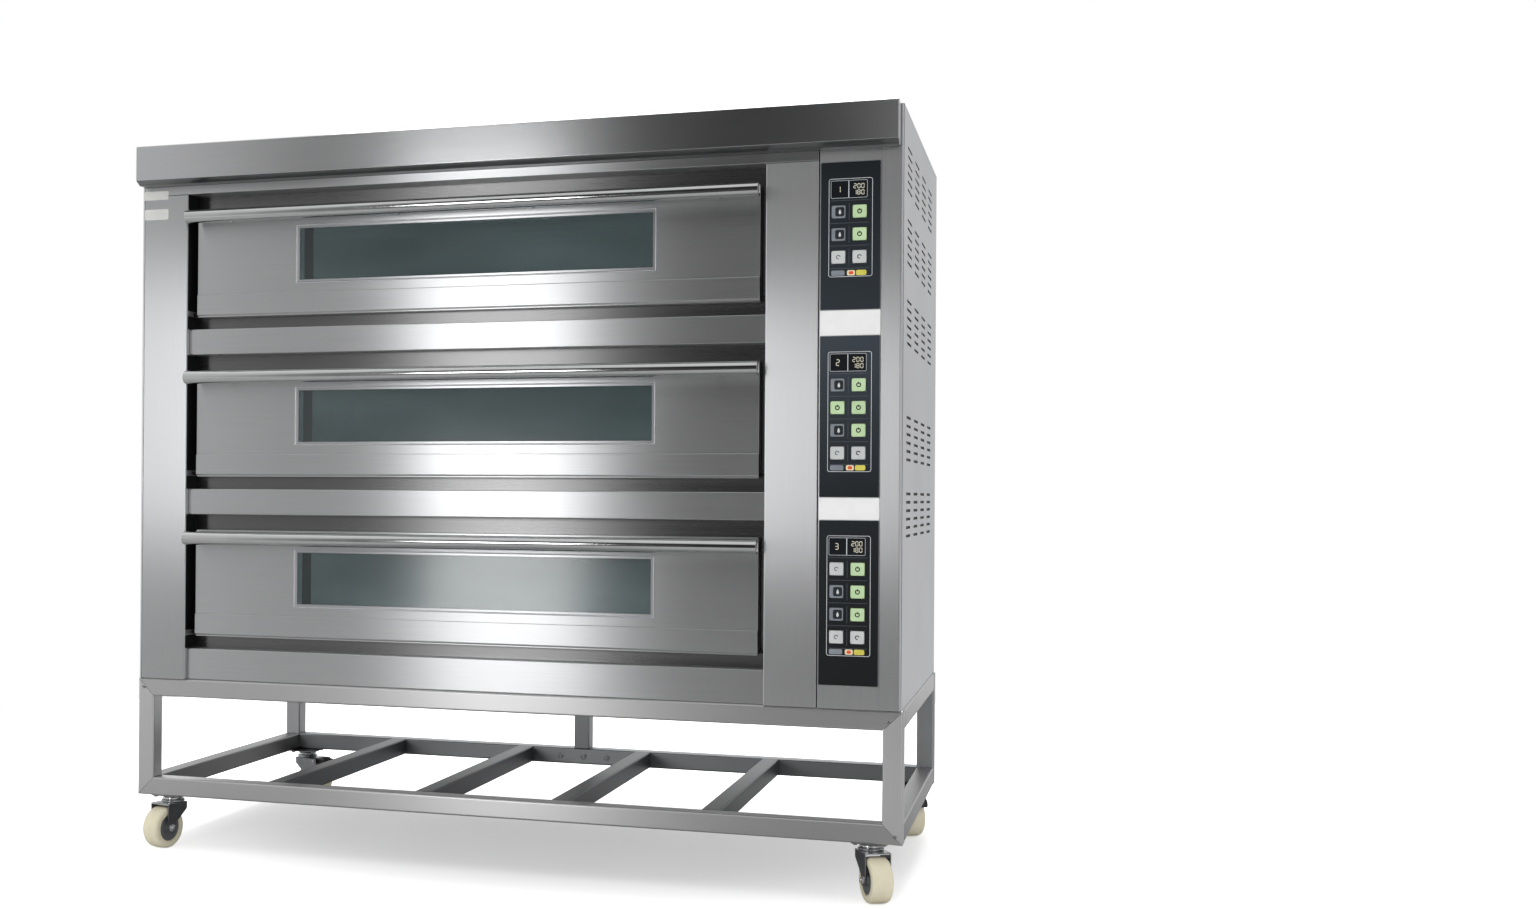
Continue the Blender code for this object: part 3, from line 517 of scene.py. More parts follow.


# each deck's film gets its own top and bottom tone: painted reflection, different from deck to deck
FILM_PAINTED_SHEEN = {  # top and bottom of each deck's film
    1: ("#11181d", "#262e36"),
    2: ("#363f48", "#131a20"),
    3: ("#161c21", "#06090c"),
}
FINISHES: dict[str, Finish] = {
    "sheet_x": BrushedSteel("brushed_stainless_sheet", "#cfd0d1", 0.30, grain=Axis.X),
    "sheet_z": BrushedSteel("brushed_stainless_upright", "#cdcecf", 0.30, grain=Axis.Z),
    "sheet_y": BrushedSteel("brushed_stainless_side", "#dadbdd", 0.32,
                            grain=Axis.Z, pull=0.8, dark="#d1d2d4"),
    # bay walls: a darker copy of the sheet finish, painted shade in the recess behind the doors
    "bay": BrushedSteel("dull_bay_wall", "#868686", 0.28, grain=Axis.X, pull=0.9, dark="#7c7c7c"),
    # hood's turned-under return: a darker copy of the sheet finish, painted shade under the hood's edge
    "return": BrushedSteel("shaded_folded_return", "#8c8d8e", 0.30,
                           grain=Axis.X, pull=0.8, dark="#838485"),
    "hood": BrushedSteel("brushed_stainless_hood", "#cdcecf", 0.20, grain=Axis.X, pull=0.85),
    "tube_x": BrushedSteel("satin_stainless_tube_rail", "#d2d2d2", 0.34,
                           grain=Axis.X, pull=0.85, dark="#cacaca"),
    # side rails: a darker copy of the tube finish, painted shade under the oven
    "tube_y": BrushedSteel("satin_stainless_tube_side", "#8d8d8e", 0.36,
                           grain=Axis.Y, pull=0.7, dark="#838484"),
    "tube_z": BrushedSteel("satin_stainless_tube_post", "#dedede", 0.36,
                           grain=Axis.Z, pull=0.7, dark="#d6d6d6"),
    "polished": Metal("polished_stainless_tube", "#d2d3d3", 0.09,
                      dark="#cccdcd", patch=0.05, uneven=0.01, relief=0.0),
    "bright": Metal("bright_stainless_edge", "#c6c8cb", 0.30,
                    dark="#c0c2c5", patch=0.02, uneven=0.02, relief=0.0),
    "plate": Moulded("white_coated_cover_plate", "#f4f4f4", 0.50, dark="#f0f0f0", relief=0.02),
    # cross rails, rear rails and rear posts: darker copies of the tube finish, painted shade under the oven
    "mill": BrushedSteel("dull_mill_finish_tube", "#66686a", 0.42,
                         grain=Axis.Y, pull=0.4, dark="#5d5f61"),
    "mill_x": BrushedSteel("dull_mill_finish_hoop", "#a4a6a8", 0.40,
                           grain=Axis.X, pull=0.5, dark="#9a9c9e"),
    "mill_z": BrushedSteel("dull_mill_finish_post", "#bcbdbf", 0.40,
                           grain=Axis.Z, pull=0.5, dark="#b2b3b5"),
    "zinc": Metal("dark_chromed_pressing", "#9c9da0", 0.22,
                  dark="#929396", patch=0.02, uneven=0.03, relief=0.0),
    "chrome": Metal("chromed_steel", "#eceded", 0.20, dark="#e4e5e6", patch=0.01, uneven=0.02, relief=0.0),
    "screw": Metal("stainless_fastener", "#bdbec0", 0.28, dark="#a5a6a8", patch=0.003),
    # dark recess finish: painted shade, used on screw slots, door pivots and the bays' side plates
    "slot": Metal("shadowed_steel_recess", "#3a3b3c", 0.5, dark="#2c2d2e", patch=0.003),
    "liner": Metal("aluminised_steel_liner", "#b9bab7", 0.46, dark="#989893", patch=0.06, uneven=0.08),
    "hearth": Metal("seasoned_steel_hearth", "#8b847c", 0.58, dark="#6b635b", patch=0.03, uneven=0.1,
                    relief=0.12),
    "element": Metal("oxidised_alloy_sheath", "#565759", 0.50, dark="#444342", patch=0.01, uneven=0.1),
    "gasket": Moulded("silicone_rubber_seal", "#24262a", 0.62, dark="#1a1b1e"),
    # dark band behind the left edge of each pane: painted shade of the chamber side seen through the glass
    "spacer": Moulded("dark_spacer_bar", "#1b2629", 0.30, dark="#182225", relief=0.0),
    "hub": Moulded("grey_polypropylene_hub", "#6c6e71", 0.40, dark="#626467", relief=0.05),
    "nylon": Moulded("cast_nylon_tread", "#efe8cf", 0.36, dark="#e8dfc2", grit=0.0015, relief=0.03),
    "black": Moulded("black_nylon_lever", "#222325", 0.45, dark="#191a1b"),
    "glass": OvenGlass("coated_toughened_glass", "#778b8d", 0.13),
    "ink": Moulded("white_screen_ink", "#d7dadd", 0.55, dark="#c9ccd0", relief=0.03),
    "ink_grey": Moulded("grey_screen_ink", "#5c646d", 0.55, dark="#525a63", relief=0.03),
    "ink_dark": Moulded("dark_screen_ink", "#1b1f24", 0.50, dark="#15181c", relief=0.03),
    "digit": Moulded("warm_white_segment", "#e4dfcb", 0.40, dark="#d9d3bc", relief=0.02),
    "cell": PrintedFilm("smoked_display_window", "#14181c", 0.16, light="#1b2025"),
    "green": Moulded("green_silicone_key", "#c6e2b2", 0.46, dark="#bcd9a7", relief=0.04),
    "pale": Moulded("pale_grey_key", "#cfd1d1", 0.46, dark="#c4c6c7", relief=0.04),
    "grey": Moulded("mid_grey_key", "#858c94", 0.46, dark="#7a8189", relief=0.04),
    "lamp_red": Moulded("orange_red_lamp_lens", "#ef5a2b", 0.30, dark="#dd4a1f", relief=0.02),
    "lamp_ring": Moulded("cream_lamp_surround", "#f0e2bd", 0.40, dark="#e6d7ae", relief=0.02),
    "lamp_yellow": Moulded("yellow_lamp_lens", "#ddd25a", 0.34, dark="#cfc44c", relief=0.02),
    "label_light": Moulded("blank_paper_label", "#d9dad6", 0.50, dark="#d1d2ce", relief=0.04),
}
for _deck in DECKS:
    _low, _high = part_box(f"control_overlay_{_deck}")
    FINISHES[f"film_{_deck}"] = PrintedFilm(f"polyester_print_painted_sheen_{_deck}", FILM_PAINTED_SHEEN[_deck][0], 0.30,
                                            light=FILM_PAINTED_SHEEN[_deck][1], bottom=_low.z, top=_high.z)


class Workshop:
    """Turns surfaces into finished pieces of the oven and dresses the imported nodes."""

    def __init__(self) -> None:
        """Starts with no material made."""
        self.made: dict[str, bpy.types.Material] = {}

    def material(self, key: str) -> bpy.types.Material:
        """The material of a finish, made at its first use."""
        if key not in self.made:
            self.made[key] = FINISHES[key].make()
        return self.made[key]

    def piece(self, name: str, shells: Iterable[Shell], finish: str, body: str,
              slot: str, replaces: Sequence[str] = (), crease: float = 40.0) -> bpy.types.Object:
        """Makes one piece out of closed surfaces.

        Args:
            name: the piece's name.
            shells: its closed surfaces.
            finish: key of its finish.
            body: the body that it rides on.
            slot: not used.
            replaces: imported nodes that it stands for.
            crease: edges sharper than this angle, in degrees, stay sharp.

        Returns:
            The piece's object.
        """
        parts = list(shells)
        starts = np.cumsum([0] + [len(s.points) for s in parts[:-1]])
        faces: list[list[int]] = []
        for shell, start in zip(parts, starts):
            faces += (shell.quads + start).tolist() + [(cap + start).tolist() for cap in shell.caps]
        mesh = bpy.data.meshes.new(name)
        mesh.from_pydata(np.concatenate([s.points for s in parts]).tolist(), [], faces)
        return self.finish(name, mesh, finish, body, slot, replaces, crease)

    def finish(self, name: str, mesh: bpy.types.Mesh, finish: str, body: str, slot: str,
               replaces: Sequence[str] = (), crease: float = 40.0) -> bpy.types.Object:
        """Links a finished mesh as a piece; its arguments are those of piece()."""
        mesh.materials.clear()
        mesh.materials.append(self.material(finish))
        mesh.shade_smooth()
        mesh.set_sharp_from_angle(angle=math.radians(crease))
        made = bpy.data.objects.new(name, mesh)
        bpy.context.scene.collection.objects.link(made)
        even = made.modifiers.new("even_shading", "WEIGHTED_NORMAL")
        even.keep_sharp, even.weight = True, 90
        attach(made, body)
        if replaces:
            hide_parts(*replaces)
        log.info("%s: %d faces", name, len(mesh.polygons))
        return made

    def dress(self, finish: str, *nodes: str) -> None:
        """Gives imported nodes, whose shape is right, a finish."""
        for node in nodes:
            mesh = frame["nodes"][node].data
            mesh.materials.clear()
            mesh.materials.append(self.material(finish))

    def softened(self, name: str, node: str, wanted: Callable[[Vector, Vector], bool], radius: float,
                 finish: str, body: str, slot: str) -> bpy.types.Object:
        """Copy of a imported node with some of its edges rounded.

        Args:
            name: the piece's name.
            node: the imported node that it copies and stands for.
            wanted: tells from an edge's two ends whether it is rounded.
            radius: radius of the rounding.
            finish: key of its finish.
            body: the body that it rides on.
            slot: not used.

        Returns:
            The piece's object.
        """
        bm = bmesh.new()
        bm.from_mesh(frame["nodes"][node].data)
        bmesh.ops.remove_doubles(bm, verts=bm.verts, dist=0.00001)
        bmesh.ops.dissolve_limit(bm, angle_limit=math.radians(1), verts=bm.verts, edges=bm.edges)
        edges = [e for e in bm.edges if wanted(e.verts[0].co, e.verts[1].co)]
        bmesh.ops.bevel(bm, geom=edges, offset=radius, segments=5, profile=0.5, affect="EDGES")
        mesh = bpy.data.meshes.new(name)
        bm.to_mesh(mesh)
        bm.free()
        return self.finish(name, mesh, finish, body, slot, (node,), 30.0)


# ---------------------------------------------------------------- stand and castors


@dataclass
class Stand:
    """Welded frame of square tube with mitred front and rear hoops."""

    shop: Workshop
    tube: float = 0.042
    corner: float = 0.0045
    plate: float = 0.003
    cross_rails: tuple[float, ...] = (-0.548, -0.180, 0.143, 0.481)
    rear_post: float = -0.024
    bolts: tuple[float, ...] = (-0.082, -0.018, 0.045)
    castor_plate: float = 0.038
    plate_bolts: float = 0.029
    screw: float = 0.0048

    def __post_init__(self) -> None:
        """Reads the stand's box; the castor plates hang below the tubes."""
        self.low, self.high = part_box("stand_frame")
        self.foot = self.low.z + self.plate

    def mitred(self, axis: Axis, y: float, outer: float, inner: float, ends: tuple[float, float]) -> Shell:
        """One member of a hoop, cut at 45 degrees at both ends.

        Formula: a rounded square is carried along the member; each of its points ends as far
        from the hoop's corner as it lies in from the hoop's outer face.

        Args:
            axis: X for a rail and Z for a post.
            y: depth of the hoop's middle.
            outer: place of the member's outer face.
            inner: place of its inner face.
            ends: the hoop's two outer faces that the member runs between.

        Returns:
            The closed member.
        """
        half = self.tube / 2
        depths = (y - half, y + half)
        faces = sorted((outer, inner))
        if axis is Axis.X:
            flat = rounded(rectangle((depths[0], faces[0]), (depths[1], faces[1])), self.corner, 4)
            inward = np.abs(flat[:, 1] - outer)
        else:
            flat = rounded(rectangle((faces[0], depths[0]), (faces[1], depths[1])), self.corner, 4)
            inward = np.abs(flat[:, 0] - outer)
        along = np.stack((ends[0] + inward + HAIR, ends[1] - inward - HAIR))
        return skin(stand_up(np.stack((flat, flat)), along, axis))

    def hoop(self, y: float) -> dict[Axis, list[Shell]]:
        """The two rails and two posts of the front or the rear hoop."""
        side, tube = self.high.x, self.tube
        rails = [self.mitred(Axis.X, y, outer, inner, (-side, side))
                 for outer, inner in ((self.high.z, self.high.z - tube), (self.foot, self.foot + tube))]
        posts = [self.mitred(Axis.Z, y, sign * side, sign * (side - tube), (self.foot, self.high.z))
                 for sign in (-1, 1)]
        return {Axis.X: rails, Axis.Z: posts}

    def build(self) -> None:
        """Hoops, side rails, cross rails, rear post, castor plates and fasteners."""
        half, tube = self.tube / 2, self.tube
        near, far = self.low.y + half, self.high.y - half
        front, rear = self.hoop(near), self.hoop(far)
        middle = block((self.rear_post - half, far - half, self.foot + tube + HAIR),
                       (self.rear_post + half, far + half, self.high.z - tube - HAIR), Axis.Z, self.corner)

        def rail(x: float, bottom: float) -> Shell:
            """Tube from the front hoop to the rear one, its middle at x."""
            return block((x - half, near + half + HAIR, bottom), (x + half, far - half - HAIR, bottom + tube),
                         Axis.Y, self.corner, 0.0005)

        # the rear hoop, the middle rear post, the side rails and the cross rails take darker copies of the
        # tube finish: painted shade under the oven
        self.tubes("stand_front_rails", front[Axis.X], "tube_x", "stand_frame")
        self.tubes("stand_rear_rails", rear[Axis.X], "mill_x")
        self.tubes("stand_front_posts", front[Axis.Z], "tube_z")
        self.tubes("stand_rear_posts", [*rear[Axis.Z], middle], "mill_z")
        sides = [rail(sign * (self.high.x - half), bottom)
                 for bottom in (self.foot, self.high.z - tube) for sign in (-1, 1)]
        self.tubes("stand_side_rails", sides, "tube_y")
        self.tubes("stand_cross_rails", [rail(x, self.foot) for x in self.cross_rails], "mill")
        self.fasteners(near - half)

    def tubes(self, name: str, shells: Iterable[Shell], finish: str, *stands_for: str) -> None:
        """Makes one group of the frame's tubes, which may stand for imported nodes."""
        self.shop.piece(name, shells, finish, "oven", "steel_frame", stands_for)

    def fasteners(self, face: float) -> None:
        """Castor plates with their bolts, corner screws and the bolts of the rear rail.

        Args:
            face: y of the front hoop's face.
        """
        plates, heads, slots = [], [], []
        reach, spread = self.castor_plate, (-self.plate_bolts, self.plate_bolts)
        for place in CASTORS:
            x, y, _ = joint(f"castor_swivel_{place}")["pos_m"]
            plates.append(block((x - reach, y - reach, self.low.z),
                                (x + reach, y + reach, self.foot - 2 * SAME), Axis.Z, 0.004))
            heads += [hexagon((x + dx, y + dy, self.low.z), Axis.Z, -1, 0.0052, 0.0035)
                      for dx in spread for dy in spread]
        side, top = self.high.x, self.high.z
        spots = ((-side + 0.016, top - 0.020), (side - 0.016, self.foot + 0.018),
                 (side - 0.030, top - 0.022))
        for x, z in spots:
            heads.append(pan_screw((x, face, z), Axis.Y, -1, self.screw))
            # each slot is a dark stroke on the head: painted shade standing in for the cut slot
            slit = [(x - 0.0034, z + 0.0026), (x + 0.0034, z - 0.0026)]
            slots.append(stroke(slit, 0.0011, face - 0.0026))
        seat, z = self.high.y - self.tube, self.foot + self.tube / 2
        washer = [(0.0, 0.0085), (-0.0012, 0.0085), (-0.0014, 0.008)]
        for x in self.bolts:
            heads += [hexagon((x, seat, z), Axis.Y, -1, 0.0062, 0.004),
                      turned(washer, Axis.Y, (x, seat, z), 20)]
        self.shop.piece("castor_plates", plates, "zinc", "oven", "zinc")
        self.shop.piece("stand_fasteners", heads, "screw", "oven", "zinc")
        self.shop.piece("stand_screw_slots", slots, "slot", "oven", "steel_dark")


@dataclass
class Castor:
    """Swivel castor: pressed fork, ball race, nylon wheel and, at the back, a foot brake."""

    shop: Workshop
    place: str
    braked: bool
    wheel: float = 0.048
    half_width: float = 0.023
    clearance: float = 0.003
    sheet: float = 0.0025
    race: float = 0.027
    waist: float = 0.0135
    waist_rise: float = 0.010
    toe: float = 0.0105
    crown: tuple[float, float] = (-0.018, 0.044)
    braked_nose: float = 0.060
    crown_z: tuple[float, float, float] = (0.088, 0.1010, 0.1040)
    pivot: tuple[float, float] = (0.052, 0.0985)
    paddle_gap: float = 0.008

    def __post_init__(self) -> None:
        """Reads the swivel's and the axle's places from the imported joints."""
        swivel, spin = joint(f"castor_swivel_{self.place}"), joint(f"wheel_spin_{self.place}")
        self.spot = Vector(swivel["pos_m"][:2]).to_3d()
        out = Vector(spin["pos_m"][:2]).to_3d() - self.spot
        self.trail = out.length
        out.normalize()
        along = Vector((-out.y, out.x, 0.0))
        # the local frame has x along the axle, -y along the trail
        self.frame = Matrix.Translation(self.spot) @ Matrix((along, -out, (0, 0, 1))).transposed().to_4x4()

    def placed(self, shells: Iterable[Shell]) -> list[Shell]:
        """Shells drawn about the swivel axis, set down where the castor stands."""
        return [shell.moved(self.frame).outward() for shell in shells]

    @property
    def leg(self) -> tuple[float, float]:
        """Inner and outer face of a fork leg, from the wheel's middle."""
        inner = self.half_width + self.clearance
        return inner, inner + self.sheet

    @property
    def reach(self) -> float:
        """How far forward the crown plate goes; on a braked castor it stops short of the paddle."""
        return self.pivot[0] - self.paddle_gap if self.braked else self.crown[1]

    def fork(self) -> list[Shell]:
        """Two tapered legs with rounded feet under a flat crown."""
        inner, outer = self.leg
        back = self.crown[0]
        nose = self.braked_nose if self.braked else self.crown[1]
        shoulder, crown_low, top = self.crown_z
        axle, low, high = self.trail, self.wheel - self.waist, self.wheel + self.waist_rise
        corners = [(-back, top), (-back, shoulder), (-axle + self.waist, high), (-axle + self.toe, low),
                   (-axle - self.toe, low), (-axle - self.waist, high), (-nose, shoulder), (-nose, top)]
        radii = (0.001, 0.006, 0.012, 0.009, 0.009, 0.012, 0.006, 0.001)
        outline = rounded(corners, radii, 5)
        legs = [bar(outline, Axis.X, *sorted((side * inner, side * outer)), 0.0007) for side in (-1, 1)]
        plate = block((-outer, -self.reach, crown_low), (outer, -back, top), Axis.X, 0.001, 0.0012)
        return [*legs, plate]

    def lip(self) -> list[Shell]:
        """Bright sheared edge along the front of the crown plate."""
        (_, outer), (_, low, top) = self.leg, self.crown_z
        return [block((-outer + 0.001, -self.reach - 0.0005, low + 0.0004),
                      (outer - 0.001, -self.reach + 0.0004, top - 0.0004), Axis.X, 0.0003)]

    def races(self) -> list[Shell]:
        """Ball race between crown and plate: two pressed rings with a groove between them."""
        r, low, top = self.race, self.crown_z[2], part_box("stand_frame")[0].z - 0.0003
        lower = [(low - 0.0005, r - 0.004), (low, r - 0.001), (low + 0.002, r), (low + 0.0048, r),
                 (low + 0.0062, r - 0.0016), (low + 0.0064, r - 0.006)]
        upper = [(low + 0.0064, r - 0.010), (low + 0.0068, r - 0.0045), (low + 0.0085, r - 0.0030),
                 (low + 0.0110, r - 0.0030), (low + 0.0128, r - 0.0045), (top, r - 0.0060)]
        return [turned(lower, Axis.Z, (0, 0, 0), 40), turned(upper, Axis.Z, (0, 0, 0), 40)]

    def axle(self) -> list[Shell]:
        """Axle bolt with a domed head, a lock nut and a washer on each side."""
        outer = self.leg[1]
        centre = (0.0, -self.trail, self.wheel)
        made = [turned([(-outer, 0.005), (outer, 0.005)], Axis.X, centre, 20)]
        for side in (-1, 1):
            washer = [(outer, 0.0092), (outer + 0.0011, 0.0092), (outer + 0.0014, 0.0086)]
            end = [(0.003, 0.0042), (0.0050, 0.0042), (0.0056, 0.0034), (0.0057, 0.0015)]
            seat = Vector(centre) + Vector((side * (outer + 0.0013), 0, 0))
            made += [turned([(side * a, r) for a, r in washer], Axis.X, centre, 24),
                     hexagon(seat, Axis.X, side, 0.0075, 0.0032),
                     turned([(side * a, r) for a, r in end], Axis.X, seat, 20)]
        return made

    def tread(self) -> list[Shell]:
        """Cast tyre: a slightly crowned tread with rounded shoulders round a deep hub ring."""
        half, r = self.half_width, self.wheel
        shoulder, fall, flat, seat = 0.0085, 0.0003, 0.007, 0.0300
        a = np.linspace(0, np.pi / 2, 7)
        left = np.stack((-half + shoulder * (1 - np.cos(a)), r - fall - shoulder * (1 - np.sin(a))), -1)
        crown = np.array([(-flat, r - 0.00005), (0.0, r), (flat, r - 0.00005)])
        right = left[::-1] * (-1, 1)
        bore = np.array([(half - 0.0005, seat + 0.0015), (half - 0.0035, seat), (-half + 0.0035, seat),
                         (-half + 0.0005, seat + 0.0015)])
        profile = np.concatenate((left, crown, right, bore))
        return [turned(profile, Axis.X, (0, -self.trail, self.wheel), 64, closed=True)]

    def hub(self) -> list[Shell]:
        """Hub disc with a dished web, a rim lip and a bearing boss on each side."""
        half = self.half_width
        side = [(half + 0.0008, 0.0052), (half + 0.0008, 0.0100), (half - 0.0004, 0.0114),
                (half - 0.0050, 0.0122), (half - 0.0056, 0.0140), (half - 0.0050, 0.0262),
                (half - 0.0024, 0.0280), (half - 0.0018, 0.0296), (half - 0.0040, 0.0299)]
        profile = side + [(-w, r) for w, r in side[::-1]]
        return [turned(profile, Axis.X, (0, -self.trail, self.wheel), 48, closed=True)]

    def paddle(self) -> list[Shell]:
        """Foot paddle with a rounded end on its cross pin, and three grip ribs."""
        y, z, half = -self.pivot[0], self.pivot[1], 0.0150
        corners = [(y + 0.0055, z - 0.0050), (y - 0.0100, z - 0.0052), (y - 0.0385, z - 0.0190),
                   (y - 0.0448, z - 0.0180), (y - 0.0420, z - 0.0030), (y - 0.0300, z + 0.0040),
                   (y - 0.0140, z + 0.0055), (y + 0.0055, z + 0.0050)]
        radii = (0.004, 0.004, 0.003, 0.003, 0.006, 0.006, 0.006, 0.004)
        made = [bar(rounded(corners, radii, 4), Axis.X, -0.0200, 0.0200, 0.0025, 4)]
        for step in (0.022, 0.028, 0.034):
            crest = z + 0.0042 - 0.45 * (step - 0.030)
            low, high = (-half, y - step - 0.001, crest - 0.002), (half, y - step + 0.001, crest + 0.001)
            made.append(block(low, high, Axis.X, 0.0008))
        return made

    def build(self) -> None:
        """Makes the castor's pieces, each on its own body."""
        castor, wheel, brake = f"castor_{self.place}", f"wheel_{self.place}", f"brake_{self.place}"
        self.make("fork", self.fork(), "zinc", castor, "zinc", "castor_fork")
        self.make("crown_lip", self.lip(), "chrome", castor, "zinc")
        self.make("ball_race", self.races(), "chrome", castor, "zinc")
        self.make("axle_bolt", self.axle(), "chrome", castor, "zinc", crease=30)
        self.make("tread", self.tread(), "nylon", wheel, "nylon", "castor_wheel")
        self.make("hub", self.hub(), "hub", wheel, "nylon")
        if self.braked:
            seat = (0, -self.pivot[0], self.pivot[1])
            pin = turned([(-0.0305, 0.0025), (0.0305, 0.0025)], Axis.X, seat, 16)
            self.make("paddle", self.paddle(), "black", brake, "black_plastic", "brake_pedal")
            self.make("paddle_pin", [pin], "chrome", brake, "zinc")

    def make(self, kind: str, shells: Iterable[Shell], finish: str, body: str, slot: str, node: str = "",
             crease: float = 40.0) -> None:
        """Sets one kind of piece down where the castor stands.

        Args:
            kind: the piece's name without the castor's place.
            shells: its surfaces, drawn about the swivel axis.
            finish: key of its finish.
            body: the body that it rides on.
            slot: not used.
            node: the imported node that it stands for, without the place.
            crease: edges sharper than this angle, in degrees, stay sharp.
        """
        replaced = (f"{node}_{self.place}",) if node else ()
        self.shop.piece(f"{kind}_{self.place}", self.placed(shells), finish, body, slot, replaced, crease)


# ---------------------------------------------------------------- cabinet


@dataclass
class Cabinet:
    """Sheet-metal body: side panels, hood, header, pillars, rails and the control column."""

    shop: Workshop
    lip: tuple[float, float] = (0.016, 0.0095)
    header: float = 1.5395
    recess: float = 0.012
    bay: tuple[float, float] = (-0.7655, 0.6008)
    frame_right: float = 0.7118
    sill_drop: float = 0.029
    rail_drop: float = 0.089
    plate: float = 0.0012
    strip_left: float = 0.8424
    pivot: float = 0.0065
    vent_gap: float = 0.0024
    vent_foot: float = 0.72
    vent_ends: tuple[float, float] = (0.06, 0.10)
    # depths of the plates of painted shade on the bays' side faces
    lining: tuple[float, float] = (0.0002, 0.0010)
    mouth: tuple[float, float, float, float] = (-0.7323, 0.5677, 0.030, 0.226)
    stickers: tuple[tuple[float, float, float, float], ...] = (
        (-0.8830, -0.8170, 1.5300, 1.5505), (-0.8800, -0.8170, 1.4830, 1.5080))
    cover_edge: float = 0.018
    cover_inset: float = 0.025

    def __post_init__(self) -> None:
        """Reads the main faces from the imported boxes."""
        low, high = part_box("front_frame")
        self.left, self.front, self.bottom = low
        self.rear, self.top = high.y, high.z
        self.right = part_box("control_column")[1].x
        self.doors = {deck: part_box(f"door_shell_{deck}") for deck in DECKS}

    def build(self) -> None:
        """Makes every piece of the body."""
        self.panels()
        self.hood()
        self.pillars()
        self.rails()
        self.column()
        self.labels()
        self.backing()
        self.back()

    def panels(self) -> None:
        """Side trays with a rounded fold down the front and the back."""
        for side, sign in (("left", -1), ("right", 1)):
            low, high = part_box(f"{side}_panel")
            outer, ends = high.x if sign > 0 else low.x, (low.y, high.y)

            def fold(a: Vector, b: Vector, outer: float = outer, ends: tuple[float, float] = ends) -> bool:
                """True for the long upright edges of the panel's outer face."""
                corner = all(abs(v.x - outer) < SAME and min(abs(v.y - y) for y in ends) < SAME
                             for v in (a, b))
                return corner and abs(a.z - b.z) > 0.5

            self.shop.softened(f"{side}_side_skin", f"{side}_panel", fold, 0.0042, "sheet_y", "oven",
                               "steel_satin")

    def hood(self) -> None:
        """Cap with a deep nose; its lower edge turns under at a slant, and a return in painted shade follows
        it.
        """
        low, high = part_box("hood")
        run, rise = self.lip
        corners = [(low.y, low.z + rise), (low.y, high.z), (high.y, high.z), (high.y, low.z),
                   (low.y + run, low.z)]
        outline = rounded(corners, (0.0016, 0.0030, 0.0030, 0.0015, 0.0015), 5)
        self.shop.piece("hood_cap", [bar(outline, Axis.X, low.x, high.x, 0.0022, 4)], "hood", "oven",
                        "steel_satin", ("hood",))
        thin, end = 0.0004, self.front - 0.0006
        under = np.array([(low.y + 0.0012, low.z + rise - 0.0006), (low.y + run, low.z), (end, low.z),
                          (end, low.z - thin), (low.y + run - thin, low.z - thin),
                          (low.y + 0.0008, low.z + rise - 0.0010)])
        self.shop.piece("hood_return", [bar(under, Axis.X, low.x + 0.0015, high.x - 0.0015, 0.0001)],
                        "return", "oven", "steel_satin")

    def pillars(self) -> None:
        """Uprights with folded inner edges and the header strip over them."""
        front, rear = self.front, self.rear
        left = rounded([(self.left, front), (self.bay[0], front), (self.bay[0], rear), (self.left, rear)],
                       (0.0015, 0.0032, 0.001, 0.001), 5)
        right = rounded([(self.bay[1], front), (self.frame_right, front), (self.frame_right, rear),
                         (self.bay[1], rear)], (0.0028, 0.0015, 0.001, 0.001), 5)
        top = self.header - HAIR
        self.shop.piece("front_pillars", [bar(left, Axis.Z, self.bottom, top, 0.001),
                                          bar(right, Axis.Z, self.bottom, top, 0.001)], "sheet_z", "oven",
                        "steel_satin", ("front_frame",))
        strip = rounded([(front, self.header), (rear, self.header), (rear, self.top), (front, self.top)],
                        (0.0022, 0.001, 0.001, 0.001), 5)
        self.shop.piece("header_strip", [bar(strip, Axis.X, self.left, self.frame_right, 0.0012)],
                        "sheet_x", "oven", "steel_satin")

    def spans(self) -> list[tuple[float, float]]:
        """Bottom and top of each deck rail; the lowest one reaches down to the stand."""
        spans = []
        for deck in DECKS:
            z = self.doors[deck][0].z
            spans.append((self.bottom if deck == DECKS[-1] else z - self.rail_drop, z - self.sill_drop))
        return spans

    def rails(self) -> None:
        """Recessed deck rails and, behind each door, the bay's wall round the chamber's mouth."""
        near = self.front + self.recess
        rails = []
        for bottom, top in self.spans():
            outline = rounded([(near, bottom), (self.rear, bottom), (self.rear, top), (near, top)],
                              (0.0025, 0.001, 0.001, 0.0020), 5)
            rails.append(bar(outline, Axis.X, self.bay[0] + HAIR, self.bay[1] - HAIR, 0.0008))
        self.shop.piece("deck_rails", rails, "sheet_x", "oven", "steel_satin")
        walls, seals = [], []
        face, back = self.rear - 0.0015, self.rear
        low_seal, crest_seal = face - 0.0016, face - 0.0030
        ceilings = [self.header] + [bottom for bottom, _ in self.spans()[:-1]]
        for deck, (_, floor), ceiling in zip(DECKS, self.spans(), ceilings):
            z = self.doors[deck][0].z
            left, right, low, high = self.mouth
            hole = (left, right, z + low, z + high)
            outer = (*self.bay, floor, ceiling)
            walls.append(ring_frame([(*outer, 0.001, back), (*outer, 0.001, face), (*hole, 0.006, face),
                                     (*hole, 0.006, back)]))
            inside, edge, crest = (wider(hole, by) for by in (-0.001, 0.008, 0.0035))
            seals.append(ring_frame([(*edge, 0.010, face), (*edge, 0.010, low_seal),
                                     (*crest, 0.008, crest_seal),
                                     (*inside, 0.006, low_seal), (*inside, 0.006, face)]))
        # the bay walls' darker finish is painted shade in the recess behind the doors
        self.shop.piece("bay_walls", walls, "bay", "oven", "steel_satin")
        self.shop.piece("door_seals", seals, "gasket", "oven", "black_plastic")
        self.linings(ceilings)

